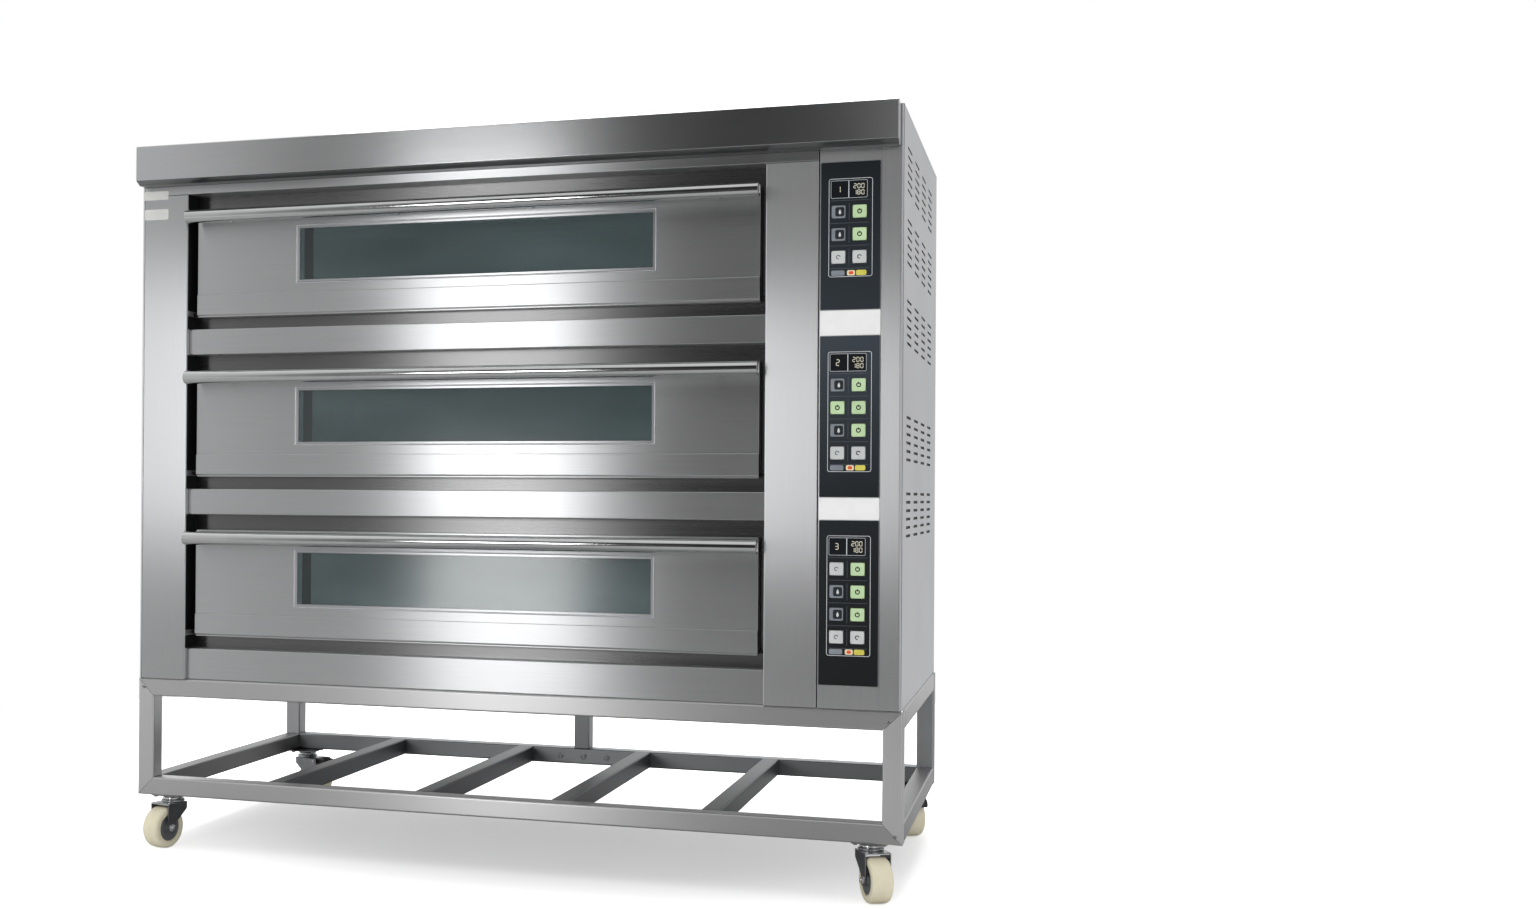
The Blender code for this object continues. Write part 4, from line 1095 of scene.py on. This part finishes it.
    def linings(self, ceilings: Sequence[float]) -> None:
        """Dark plates of painted shade on the bays' side faces, left open where the door's pivots pass
        through.

        Args:
            ceilings: height of each bay's top.
        """
        plates = []
        for deck, (_, floor), ceiling in zip(DECKS, self.spans(), ceilings):
            axis = joint(f"door_hinge_{deck}")["pos_m"]
            spans = (floor + HAIR, axis[2] - self.pivot), (axis[2] + self.pivot, ceiling - HAIR)
            for x, inward in ((self.bay[0], 1), (self.bay[1], -1)):
                left, right = sorted(x + inward * depth for depth in self.lining)
                plates += [block((left, self.front + 0.003, low), (right, self.rear - 0.002, high), Axis.Z,
                                 0.0002, 0.0002) for low, high in spans]
        # the dark recess finish here is painted shade in the gaps beside the doors
        self.shop.piece("bay_side_linings", plates, "slot", "oven", "steel_dark")

    def backing(self) -> None:
        """Black plates of painted shade inside both side panels; they show through the vents of the right
        one.
        """
        plates = []
        front, rear = self.vent_ends
        for side, inward in (("left", 1), ("right", -1)):
            low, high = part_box(f"{side}_panel")
            x = (high.x if inward < 0 else low.x) + inward * self.vent_gap
            left, right = sorted((x, x + inward * 0.0006))
            plates.append(block((left, low.y + front, self.vent_foot), (right, high.y - rear, self.header),
                                Axis.Z, 0.0002, 0.0002))
        self.shop.piece("vent_backing", plates, "gasket", "oven", "steel_dark")

    def column(self) -> None:
        """Blank cover plates round the control films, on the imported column."""
        self.shop.dress("sheet_z", "control_column")
        films = [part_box(f"control_overlay_{deck}") for deck in DECKS]
        left, right = films[0][0].x, films[0][1].x
        gaps = [(films[0][1].z + HAIR, self.top)]
        gaps += [(lower[1].z + HAIR, upper[0].z - HAIR) for upper, lower in zip(films, films[1:])]
        gaps.append((self.bottom, films[-1][0].z - HAIR))

        def cover(left: float, right: float, low: float, high: float) -> Shell:
            """Flat cover plate on the column's face."""
            return block((left, self.front - self.plate, low), (right, self.front - 0.0001, high), Axis.Z,
                         0.0004, 0.0005)

        top, *between, foot = [cover(left, right, low, high) for low, high in gaps]
        self.shop.piece("blank_cover_plates", between, "plate", "oven", "steel_satin")
        strip = cover(self.strip_left, self.right, self.bottom, self.top)
        self.shop.piece("column_cover_plates", [top, foot, strip], "sheet_z", "oven", "steel_satin")

    def labels(self) -> None:
        """Two blank stickers at the top of the left pillar."""
        face = self.front - 0.00025
        for number, (left, right, low, high) in enumerate(self.stickers, 1):
            sticker = block((left, face, low), (right, self.front, high), Axis.Y, 0.003, 0.0001)
            self.shop.piece(f"blank_label_{number}", [sticker], "label_light", "oven", "key_pale")

    def back(self) -> None:
        """Rear cover and the screws round its edge."""
        self.shop.dress("sheet_z", "rear_base_panel")
        low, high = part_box("rear_base_panel")
        edge, inset = self.cover_edge, self.cover_inset
        levels = np.linspace(low.z + inset, high.z - inset, 5)
        spots = [(x, float(z)) for z in levels for x in (low.x + edge, high.x - edge)]
        between = np.linspace(low.x + 0.30, high.x - 0.30, 4)
        spots += [(float(x), z) for x in between for z in (low.z + inset, high.z - inset)]
        heads = [pan_screw((x, high.y, z), Axis.Y, 1, 0.0042) for x, z in spots]
        self.shop.piece("back_cover_screws", heads, "screw", "oven", "zinc")


# ---------------------------------------------------------------- decks


@dataclass
class Deck:
    """One baking deck: hinged door with window and handle, and its chamber."""

    shop: Workshop
    deck: int
    stub: float = 0.0175
    strip_proud: float = 0.003
    strip: float = 0.053
    window: tuple[float, float, float, float] = (-0.4870, 0.3520, 0.081, 0.200)
    bezel: float = 0.0085
    retainer: float = 0.020
    posts: tuple[float, ...] = (-0.66, -0.24, 0.08, 0.50)

    def __post_init__(self) -> None:
        """Reads the door's and the handle's boxes."""
        low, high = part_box(f"door_shell_{self.deck}")
        self.left, self.right = low.x + self.stub, high.x - self.stub
        self.bottom, self.top = low.z, high.z
        self.face, self.rear = low.y + self.strip_proud, high.y
        self.body = f"door_{self.deck}"
        left, right, bottom, top = self.window
        self.hole = (left, right, self.bottom + bottom, self.bottom + top)

    def grown(self, by: float) -> tuple[float, float, float, float]:
        """The window's opening, larger all round."""
        return wider(self.hole, by)

    def build(self) -> None:
        """Makes the door's pieces and dresses the chamber."""
        self.shell()
        self.glazing()
        self.handle()
        self.inside()
        n = self.deck
        self.shop.dress("liner", f"chamber_liner_{n}")
        self.shop.dress("hearth", f"hearth_plate_{n}")
        self.shop.dress("element", f"heating_elements_{n}")

    def shell(self) -> None:
        """Folded door box with its opening, and the thicker strip along its lower edge."""
        n, hole, face, rear = self.deck, self.hole, self.face, self.rear
        outer = (self.left, self.right, self.bottom, self.top)
        soft, mid, lip = wider(outer, -0.0012), wider(outer, -0.00035), self.grown(HAIR)
        sections = [(*soft, 0.004, rear), (*outer, 0.005, rear - 0.0012), (*outer, 0.005, face + 0.0012),
                    (*mid, 0.0045, face + 0.00035), (*soft, 0.004, face), (*lip, 0.002, face),
                    (*hole, 0.0015, face + HAIR), (*hole, 0.0015, rear - HAIR), (*lip, 0.002, rear)]
        stubs = []
        axis, end = joint(f"door_hinge_{n}")["pos_m"], self.stub
        for x, out in ((self.left, -1), (self.right, 1)):
            profile = [(-out * 0.002, 0.004), (out * (end - 0.0008), 0.004), (out * end, 0.0032)]
            stubs.append(turned(profile, Axis.X, (x, axis[1], axis[2]), 20))
        self.shop.piece(f"door_box_{n}", [ring_frame(sections, 5)], "sheet_x", self.body, "steel_satin",
                        (f"door_shell_{n}",))
        # the pivot stubs take the dark recess finish: painted shade in the gap beside the door
        self.shop.piece(f"door_pivots_{n}", stubs, "slot", self.body, "steel_dark")
        near, deep, high = face - self.strip_proud, face + 0.004, self.bottom + self.strip
        outline = rounded([(near, self.bottom + 0.0062), (near + 0.0055, self.bottom), (deep, self.bottom),
                           (deep, high), (near, high)], (0.003, 0.002, 0.0003, 0.0003, 0.0018), 4)
        self.shop.piece(f"door_strip_{n}", [bar(outline, Axis.X, self.left, self.right, 0.0014, 3)],
                        "sheet_x", self.body, "steel_satin")

    def glazing(self) -> None:
        """Slanting bright bezel, the pane, and, in painted shade, a black jamb and a dark band behind its
        left edge.
        """
        n, face = self.deck, self.face
        near, deep = face - 0.0010, face + 0.0048
        wide, crest, inner = (self.grown(self.bezel - by) for by in (0.0, 0.0010, 0.0024))
        bezel = [(*wide, 0.0015, face + 0.0002), (*wide, 0.0015, near + 0.0004), (*crest, 0.0012, near),
                 (*inner, 0.0012, near), (*self.hole, 0.0010, deep), (*self.hole, 0.0010, deep + 0.0015),
                 (*self.grown(0.0020), 0.0010, deep + 0.0015)]
        self.shop.piece(f"window_bezel_{n}", [ring_frame(bezel, 3)], "bright", self.body, "steel_satin")
        low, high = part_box(f"door_glass_{n}")
        # the jamb's black is painted shade inside the window opening, behind the pane
        start, end = high.y + 0.0015, self.rear - 0.0015
        inner, outer = self.grown(-0.0012), self.grown(-0.0002)
        jamb = [(*outer, 0.0010, start), (*inner, 0.0008, start), (*inner, 0.0008, end),
                (*outer, 0.0010, end)]
        self.shop.piece(f"window_jamb_{n}", [ring_frame(jamb, 3)], "gasket", self.body, "black_plastic")
        pane = block((low.x, low.y, low.z), (high.x, high.y, high.z), Axis.Y, 0.004, 0.0006)
        self.shop.piece(f"window_pane_{n}", [pane], "glass", self.body, "pane", (f"door_glass_{n}",))
        # dark band behind the pane's left edge: painted shade of the chamber side seen through the glass
        left, _, bottom, top = self.hole
        spacer = block((left + 0.012, low.y - 0.0003, bottom + 0.0004),
                       (left + 0.034, low.y - 0.0001, top - 0.0004), Axis.Y, 0.0004, 0.00005)
        self.shop.piece(f"pane_shade_band_{n}", [spacer], "spacer", self.body, "black_plastic")

    def handle(self) -> None:
        """Polished tube with square-cut capped ends on turned standoffs."""
        n = self.deck
        low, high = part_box(f"door_handle_{n}")
        radius = (high.z - low.z) / 2
        y, z = low.y + radius, (high.z + low.z) / 2
        half = (high.x - low.x) / 2
        end = [(half - 0.0010, radius), (half - 0.0003, radius - 0.0003), (half, radius - 0.0010),
               (half, radius - 0.0022), (half - 0.0015, radius - 0.0026), (half - 0.0015, 0.002)]
        profile = [(-a, r) for a, r in end[::-1]] + end
        tube = turned(profile, Axis.X, ((low.x + high.x) / 2, y, z), 48)
        face = self.face - y
        shape = [(radius * 0.7, 0.0062), (face - 0.0070, 0.0062), (face - 0.0048, 0.0066),
                 (face - 0.0036, 0.0105), (face - 0.0006, 0.0112), (face - HAIR / 2, 0.0108)]
        posts = [turned(shape, Axis.Y, (x, y, z), 28) for x in self.posts]
        self.shop.piece(f"handle_bar_{n}", [tube, *posts], "polished", self.body, "steel_polished",
                        (f"door_handle_{n}",), crease=35)

    def inside(self) -> None:
        """Retaining frame and screws on the door's inner face."""
        n, near, far = self.deck, self.rear - 0.0002, self.rear + 0.0010
        wide, close = self.grown(self.retainer), self.hole
        retainer = ring_frame([(*wide, 0.004, near), (*wide, 0.004, far), (*close, 0.003, far),
                               (*close, 0.003, near)])
        self.shop.piece(f"window_retainer_{n}", [retainer], "bright", self.body, "steel_satin")
        left, right, low, high = self.grown(self.retainer / 2)
        spots = [(float(x), z) for x in np.linspace(left + 0.02, right - 0.02, 5) for z in (low, high)]
        spots += [(x, (low + high) / 2) for x in (left, right)]
        heads = [pan_screw((x, self.rear + 0.0009, z), Axis.Y, 1, 0.0032) for x, z in spots]
        self.shop.piece(f"window_screws_{n}", heads, "screw", self.body, "zinc")


# ---------------------------------------------------------------- controls


class KeyLook(Enum):
    """Cap colour, mark and mark colour of a key."""

    GREY = ("grey", "drop", "ink")
    GREEN = ("green", "ring", "ink_dark")
    PALE = ("pale", "arc", "ink_grey")
    PALE_DARK = ("pale", "arc", "ink_dark")


SEGMENTS = {  # the seven strokes of a digit: ends as shares of its width and height
    "a": ((0, 1), (1, 1)), "b": ((1, 1), (1, 0.5)), "c": ((1, 0.5), (1, 0)), "d": ((1, 0), (0, 0)),
    "e": ((0, 0), (0, 0.5)), "f": ((0, 0.5), (0, 1)), "g": ((0, 0.5), (1, 0.5)),
}
DIGITS = {"0": "abcdef", "1": "bc", "2": "abged", "3": "abgcd", "8": "abcdefg"}


def digits(text: str, left: float, bottom: float, size: tuple[float, float], width: float,
           face: float) -> list[Shell]:
    """Seven-segment digits.

    Args:
        text: the digits.
        left: left edge of the first.
        bottom: their base line.
        size: width and height of one digit.
        width: width of a segment.
        face: y of the surface that they lie on.

    Returns:
        One closed bar for each lit segment.
    """
    made = []
    for place, digit in enumerate(text):
        origin = np.array((left + place * size[0] * 1.55, bottom))
        for segment in DIGITS[digit]:
            ends = np.array(SEGMENTS[segment], float) * size
            run = unit(ends[1] - ends[0]) * width * 0.35
            made.append(stroke(origin + ends + np.stack((run, -run)), width, face))
    return made


OUTLINE_HEIGHTS = {3: 0.203, 4: 0.248}  # by number of key rows
LAMP_DROPS = {3: 0.1900, 4: 0.2345}


@dataclass
class Controls:
    """Control film of one deck: outline, display, lamps and push keys."""

    shop: Workshop
    deck: int
    rows: tuple[tuple[KeyLook, KeyLook], ...] = ()
    outline: tuple[float, float] = (0.7334, 0.8224)
    divider: float = 0.7740
    pitch: float = 0.047
    first: float = 0.0685
    film_corner: float = 0.0022
    rim_width: float = 0.0009
    rim_lift: float = 0.0004
    flange: float = 0.0015
    lip: float = 0.0022

    def __post_init__(self) -> None:
        """Reads the film's box; the printed outline starts a set distance above the first keys."""
        self.low, self.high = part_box(f"control_overlay_{self.deck}")
        keys = [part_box(f"key_{self.deck}_left_{row}") for row in range(1, len(self.rows) + 1)]
        self.face = self.low.y
        self.top = (keys[0][0].z + keys[0][1].z) / 2 + self.first

    def build(self) -> None:
        """Makes the film, its print, its lamps and its keys."""
        n = self.deck
        sides, ends = (self.low.x, self.high.x), (self.low.z, self.high.z)

        def corner(a: Vector, b: Vector) -> bool:
            """True for the four short edges at the film's corners."""
            outer = all(min(abs(v.x - x) for x in sides) < SAME and min(abs(v.z - z) for z in ends) < SAME
                        for v in (a, b))
            return outer and abs(a.y - b.y) > HAIR

        self.shop.softened(f"control_film_{n}", f"control_overlay_{n}", corner, self.film_corner,
                           f"film_{n}", "oven", "overlay")
        inner, lift = self.rim_width, -self.rim_lift
        rim = ring_frame([self.rim(0.0, 0.0), self.rim(0.0, lift), self.rim(inner, lift),
                          self.rim(inner, 0.0)])
        self.shop.piece(f"film_edge_{n}", [rim], "bright", "oven", "steel_satin")
        self.print_film()
        self.lamps()
        for row, looks in enumerate(self.rows, 1):
            for side, look in zip(("left", "right"), looks):
                self.key(side, row, look)

    def rim(self, inset: float, lift: float) -> tuple[float, ...]:
        """Section of the thin bright edge round the film."""
        edge = wider((self.low.x, self.high.x, self.low.z, self.high.z), -inset)
        return (*edge, self.film_corner, self.face + lift)

    def print_film(self) -> None:
        """White outline, display window and the grey lines between the key rows."""
        n, face, top = self.deck, self.face, self.top
        left, right = self.outline
        border = rounded(rectangle((left, top - OUTLINE_HEIGHTS[len(self.rows)]), (right, top)), 0.0045, 5)
        low, high = top - 0.0400, top - 0.0040
        display = rounded(rectangle((left + 0.0040, low), (right - 0.0105, high)), 0.0025, 4)
        white = [stroke(border, 0.0011, face, closed=True),
                 stroke(display, 0.0007, face - 0.00035, closed=True),
                 stroke([(self.divider, low), (self.divider, high)], 0.0016, face - 0.00035)]
        self.shop.piece(f"film_print_white_{n}", white, "ink", "oven", "overlay")
        window = bar(display, Axis.Y, face - 0.0003, face + 0.0001, 0.0001)
        self.shop.piece(f"display_window_{n}", [window], "cell", "oven", "overlay")
        glow = digits(str(n), left + 0.0170, low + 0.0120, (0.0060, 0.0120), 0.0016, face - 0.0004)
        for text, base in (("200", 0.0195), ("180", 0.0065)):
            glow += digits(text, self.divider + 0.0100, low + base, (0.0052, 0.0090), 0.0014, face - 0.0004)
        self.shop.piece(f"display_digits_{n}", glow, "digit", "oven", "overlay")
        levels = [top - self.first - (row - 0.5) * self.pitch for row in range(len(self.rows) + 1)]
        post = self.divider + 0.001
        lines = []
        for z in levels[:-1]:
            lines += [[(left + 0.003, z), (right - 0.006, z)],
                      [(post, z - 0.006), (post, z - self.pitch + 0.006)]]
        lines.append([(left + 0.003, levels[-1]), (right - 0.006, levels[-1])])
        self.shop.piece(f"film_print_grey_{n}", [stroke(line, 0.0007, face) for line in lines], "ink_grey",
                        "oven", "overlay")

    def lamps(self) -> None:
        """Grey pill, orange-red lamp in a cream surround, and a yellow pill."""
        n, face = self.deck, self.face
        high = self.top - LAMP_DROPS[len(self.rows)]
        low = high - 0.0110
        lenses = (  # finish, piece, left, right, how far it stands proud, how much lower it is
            ("grey", "pill", 0.7385, 0.7661, 0.0004, 0.0),
            ("lamp_ring", "lamp_surround", 0.7712, 0.7876, 0.0004, 0.0),
            ("lamp_red", "lamp_lens", 0.7748, 0.7842, 0.0010, 0.0022),
            ("lamp_yellow", "lamp_pill", 0.7897, 0.8111, 0.0006, 0.0))
        for finish, kind, left, right, lift, drop in lenses:
            lens = block((left, face - lift, low + drop), (right, face + 0.0001, high - drop), Axis.Y,
                         0.0030, 0.0003)
            self.shop.piece(f"{kind}_{n}", [lens], finish, "oven", "overlay")

    def key(self, side: str, row: int, look: KeyLook) -> None:
        """One push key: a cap with a dished face, its mark, and for grey keys a dark inner pad.

        Args:
            side: left or right.
            row: row number from the top.
            look: its colours and mark.
        """
        name = f"key_{self.deck}_{side}_{row}"
        body = f"{name}_body"
        low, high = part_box(name)
        cap, sign, ink = look.value
        x0, x1, z0, z1 = wider((low.x, high.x, low.z, high.z), -self.flange)
        face, foot, step = low.y, high.y, high.y - 0.0018

        def ring(inset: float, y: float, radius: float) -> tuple[np.ndarray, float]:
            """Rounded square of the cap, drawn in, at a depth."""
            return rounded(rectangle((x0 + inset, z0 + inset), (x1 - inset, z1 - inset)), radius, 4), y

        rings = [ring(-0.0014, foot, 0.002), ring(-0.0014, step, 0.002), ring(0.0, step, 0.0040),
                 ring(0.0, face + 0.0009, 0.0040), ring(0.0003, face + 0.00035, 0.0039),
                 ring(0.0010, face, 0.0036), ring(self.lip, face + 0.0001, 0.0030),
                 ring(self.lip + 0.0008, face + 0.0004, 0.0026)]
        flat, depths = np.stack([outline for outline, _ in rings]), np.array([y for _, y in rings])
        self.shop.piece(f"cap_{name}", [skin(stand_up(flat, depths, Axis.Y))], cap, body, f"key_{cap}",
                        (name,))
        x, z, seat = (x0 + x1) / 2, (z0 + z1) / 2, face + 0.0004
        if sign == "drop":
            pad = block((x - 0.0065, seat - 0.0005, z - 0.0095), (x + 0.0120, seat + 0.0001, z + 0.0095),
                        Axis.Y, 0.0035, 0.0002)
            self.shop.piece(f"pad_{name}", [pad], "ink_dark", body, "key_grey")
        self.shop.piece(f"mark_{name}", self.mark(sign, x, z, seat), ink, body, "overlay")

    def mark(self, sign: str, x: float, z: float, seat: float) -> list[Shell]:
        """Printed mark of a key.

        Formula: a drop is a circle drawn in towards its point; a ring or an arc is part of an ellipse.

        Args:
            sign: drop, ring or arc.
            x: middle of the cap.
            z: its height.
            seat: y of the surface that the mark lies on.

        Returns:
            The mark's closed strokes.
        """
        if sign == "drop":
            t = np.linspace(0, 2 * np.pi, 20, endpoint=False)
            drop = np.stack((x + 0.003 + 0.0034 * np.sin(t) * np.sin(t / 2), z + 0.0052 * np.cos(t)), -1)
            return [bar(drop, Axis.Y, seat - 0.0008, seat - 0.0004, 0.0001)]
        if sign == "ring":
            t = np.linspace(0.35, 2 * np.pi - 0.35, 18) + np.pi / 2
            loop = np.stack((x + 0.0040 * np.cos(t), z + 0.0042 * np.sin(t)), -1)
            return [stroke(loop, 0.0022, seat), stroke([(x, z + 0.0060), (x, z + 0.0010)], 0.0018, seat)]
        t = np.linspace(0.2, 1.6 * np.pi, 14)
        return [stroke(np.stack((x + 0.0038 * np.cos(t), z + 0.0036 * np.sin(t)), -1), 0.0018, seat)]


# ---------------------------------------------------------------- studio


@dataclass
class Studio:
    """Pale floor, soft lamps, white surroundings and the camera."""

    eye: tuple[float, float, float] = (1.2252, -3.9320, 0.8366)
    yaw: float = 0.3106
    pitch: float = 0.0050
    roll: float = 0.0069
    lens: float = 39.584
    shift: tuple[float, float] = (0.1523, 0.0212)
    floor_size: float = 3.2
    floor_tone: float = 0.80
    mirrored_drop: float = -0.42
    shadow_centre: tuple[float, float, float] = (0.05, 0.10, 0.0)
    shadow_squeeze: tuple[float, float, float] = (0.75, 1.25, 1.0)
    # the floor's own white dims under the oven between these distances and strengths: painted shadow
    glow: tuple[float, float, float, float] = (0.45, 1.40, 0.36, 1.0)
    # the room that metal mirrors, as degrees towards the right of straight ahead and brightness:
    # white behind and at the left, dark in front, pale to the front right, dim at the right
    level_tones: tuple[tuple[float, float], ...] = (
        (-180, 1.0), (-75, 1.0), (-45, 0.68), (-30, 0.66), (-28.5, 0.50), (-25, 0.20), (-17, 0.05),
        (-12, 0.02), (-7.5, 0.02), (-4.5, 0.30), (8, 0.10), (22, 0.30), (38, 0.85), (62, 0.85),
        (80, 0.22), (145, 0.20), (163, 1.0), (180, 1.0))
    low_tone: float = 0.06
    low_span: tuple[float, float] = (0.08, -0.10)
    ceiling: tuple[float, float, float, float] = (0.46, 0.72, 0.0, 0.80)
    matt_tone: float = 0.80
    backdrop: float = 1.0

    def build(self) -> None:
        """Sets the whole stage up."""
        bpy.context.scene.view_settings.view_transform = "Standard"
        self.camera()
        self.floor()
        self.world()
        self.lamps()

    def camera(self) -> None:
        """Almost level view from the right of the middle."""
        level = math.cos(self.pitch)
        ahead = Vector((-math.sin(self.yaw) * level, math.cos(self.yaw) * level, math.sin(self.pitch)))
        right = Vector((math.cos(self.yaw), math.sin(self.yaw), 0.0))
        up = right.cross(ahead)
        c, s = math.cos(self.roll), math.sin(self.roll)
        right, up = right * c + up * s, -right * s + up * c
        data = bpy.data.cameras.new("camera")
        data.lens, data.sensor_width = self.lens, 36.0
        data.shift_x, data.shift_y = self.shift
        made = bpy.data.objects.new("camera", data)
        made.matrix_world = Matrix.Translation(self.eye) @ Matrix((right, up, -ahead)).transposed().to_4x4()
        bpy.context.scene.collection.objects.link(made)
        bpy.context.scene.camera = made

    def floor(self) -> None:
        """Round pale floor under the wheels: rings of a flat disc."""
        radius = np.array([0.02, 0.5, 1.0, 2.0, self.floor_size])
        angle = np.arange(64) * 2 * np.pi / 64
        flat = radius[:, None, None] * np.stack((np.cos(angle), np.sin(angle)), -1)
        sheet = skin(stand_up(flat, np.zeros(len(radius)), Axis.Z))
        mesh = bpy.data.meshes.new("floor")
        mesh.from_pydata(sheet.points.tolist(), [], sheet.quads[:, ::-1].tolist() + [sheet.caps[0].tolist()])
        material = bpy.data.materials.new("pale_studio_floor")
        material.use_nodes = True
        tree = material.node_tree
        tree.nodes.clear()
        seen = self.seen(tree)
        glow = add(tree, "ShaderNodeEmission", {"Color": (1, 1, 1, 1), "Strength": seen})
        mirrored = add(tree, "ShaderNodeLightPath").outputs["Is Glossy Ray"]
        tone = add(tree, "ShaderNodeMath", {0: mirrored, 1: self.mirrored_drop, 2: self.floor_tone},
                   operation="MULTIPLY_ADD")
        matt = add(tree, "ShaderNodeBsdfDiffuse", {"Color": tone.outputs[0]})
        both = add(tree, "ShaderNodeAddShader", {0: glow.outputs[0], 1: matt.outputs[0]})
        add(tree, "ShaderNodeOutputMaterial", {"Surface": both.outputs[0]})
        mesh.materials.append(material)
        made = bpy.data.objects.new("floor", mesh)
        bpy.context.scene.collection.objects.link(made)

    def seen(self, tree: bpy.types.NodeTree) -> Any:
        """Strength of the floor's own white, for the eye only: dim under the oven as painted shadow, full far
        out.
        """
        place = add(tree, "ShaderNodeTexCoord").outputs["Object"]
        centred = add(tree, "ShaderNodeVectorMath", {0: place, 1: self.shadow_centre}, operation="SUBTRACT")
        squeezed = add(tree, "ShaderNodeVectorMath", {0: centred.outputs[0], 1: self.shadow_squeeze},
                       operation="MULTIPLY")
        away = add(tree, "ShaderNodeVectorMath", {0: squeezed.outputs[0]}, operation="LENGTH")
        rise = self.step(tree, away.outputs["Value"], *self.glow)
        path = add(tree, "ShaderNodeLightPath")
        share = add(tree, "ShaderNodeMath", {0: path.outputs["Is Camera Ray"], 1: rise}, operation="MULTIPLY")
        return share.outputs[0]

    def world(self) -> None:
        """White all round for the eye; a dimmer room in front of the oven for what metal mirrors."""
        world = bpy.data.worlds.new("studio")
        bpy.context.scene.world = world
        world.use_nodes = True
        tree = world.node_tree
        tree.nodes.clear()
        way = add(tree, "ShaderNodeTexCoord").outputs["Generated"]
        parts = add(tree, "ShaderNodeSeparateXYZ", {0: way})
        ahead = add(tree, "ShaderNodeMath", {0: parts.outputs["Y"], 1: -1.0}, operation="MULTIPLY").outputs[0]
        azimuth = add(tree, "ShaderNodeMath", {0: parts.outputs["X"], 1: ahead}, operation="ARCTAN2")
        level = self.by_azimuth(tree, azimuth.outputs[0], self.level_tones)
        floorward = self.step(tree, parts.outputs["Z"], *self.low_span, 0.0, self.low_tone)
        room = add(tree, "ShaderNodeMath", {0: level, 1: floorward}, operation="MAXIMUM").outputs[0]
        above = self.step(tree, parts.outputs["Z"], *self.ceiling)
        room = add(tree, "ShaderNodeMath", {0: room, 1: above}, operation="MAXIMUM").outputs[0]
        path = add(tree, "ShaderNodeLightPath").outputs
        both = add(tree, "ShaderNodeMath", {0: path["Is Glossy Ray"], 1: path["Is Transmission Ray"]})
        mirrored = self.either(tree, both.outputs[0], self.matt_tone, room)
        shown = self.either(tree, path["Is Camera Ray"], mirrored, self.backdrop)
        light = add(tree, "ShaderNodeBackground", {"Color": (1, 1, 1, 1), "Strength": shown})
        add(tree, "ShaderNodeOutputWorld", {"Surface": light.outputs[0]})

    def either(self, tree: bpy.types.NodeTree, factor: Any, plain: Any, special: Any) -> Any:
        """A number that is plain where the factor is 0 and special where it is 1.

        Args:
            tree: the world's node tree.
            factor: socket that chooses.
            plain: a value or a socket.
            special: a value or a socket.

        Returns:
            The chosen number's socket.
        """
        first, second = 2, 3
        return add(tree, "ShaderNodeMix", {"Factor": factor, first: plain, second: special}).outputs[0]

    def by_azimuth(self, tree: bpy.types.NodeTree, azimuth: Any, tones: Sequence[tuple[float, float]]) -> Any:
        """Brightness of the room round the horizon.

        Args:
            tree: the world's node tree.
            azimuth: socket of the angle to the right of straight ahead of the oven, in radians.
            tones: pairs of an angle in degrees and a brightness; smooth in between.

        Returns:
            The brightness socket.
        """
        turn = add(tree, "ShaderNodeMapRange", {"Value": azimuth, "From Min": -math.pi,
                                                "From Max": math.pi})
        ramp = add(tree, "ShaderNodeValToRGB", {"Fac": turn.outputs[0]})
        stops = ramp.color_ramp.elements
        ramp.color_ramp.interpolation = "EASE"
        for number, (angle, tone) in enumerate(tones):
            place = (angle + 180) / 360
            stop = stops[number] if number < 2 else stops.new(place)
            stop.position, stop.color = place, (tone, tone, tone, 1.0)
        return ramp.outputs[0]

    def step(self, tree: bpy.types.NodeTree, value: Any, start: float, end: float, low: float,
             high: float) -> Any:
        """Soft step from low to high as a value goes from start to end."""
        made = add(tree, "ShaderNodeMapRange", {
            "Value": value, "From Min": start, "From Max": end, "To Min": low, "To Max": high},
            interpolation_type="SMOOTHSTEP")
        return made.outputs[0]

    def lamps(self) -> None:
        """Two soft boxes: a wide one overhead and an upright one in front, to the left of the camera."""
        self.soft_box("overhead_soft_box", (0.0, 0.5, 4.8), (0.0, 0.3, 0.0), (3.6, 1.8), 190.0)
        self.soft_box("front_soft_box", (-1.74, -5.50, 1.25), (0.0, -0.4, 1.0), (0.85, 1.40), 30.0)

    def soft_box(self, name: str, place: tuple[float, float, float], target: tuple[float, float, float],
                 size: tuple[float, float], power: float) -> None:
        """One rectangular lamp.

        Args:
            name: its name.
            place: where it hangs.
            target: what it looks at.
            size: its width and height.
            power: its power in watts.
        """
        data = bpy.data.lights.new(name, "AREA")
        data.shape, data.size, data.size_y, data.energy = "RECTANGLE", size[0], size[1], power
        made = bpy.data.objects.new(name, data)
        made.location = place
        made.rotation_mode = "QUATERNION"
        made.rotation_quaternion = (Vector(target) - Vector(place)).to_track_quat("-Z", "Y")
        made.visible_camera = False
        bpy.context.scene.collection.objects.link(made)


# ---------------------------------------------------------------- assembly


def main() -> None:
    """Builds the studio and the oven."""
    logging.basicConfig(level=logging.INFO, format="%(message)s")
    Studio().build()
    shop = Workshop()
    Stand(shop).build()
    for place in CASTORS:
        Castor(shop, place, f"brake_pedal_{place}" in frame["nodes"]).build()
    Cabinet(shop).build()
    for deck in DECKS:
        Deck(shop, deck).build()
    grey, green, pale, dark = KeyLook.GREY, KeyLook.GREEN, KeyLook.PALE, KeyLook.PALE_DARK
    Controls(shop, 1, ((grey, green), (grey, green), (pale, dark))).build()
    Controls(shop, 2, ((grey, green), (green, green), (grey, green), (pale, dark))).build()
    Controls(shop, 3, ((pale, green), (grey, green), (grey, green), (pale, dark))).build()


if __name__ == "__main__":
    main()
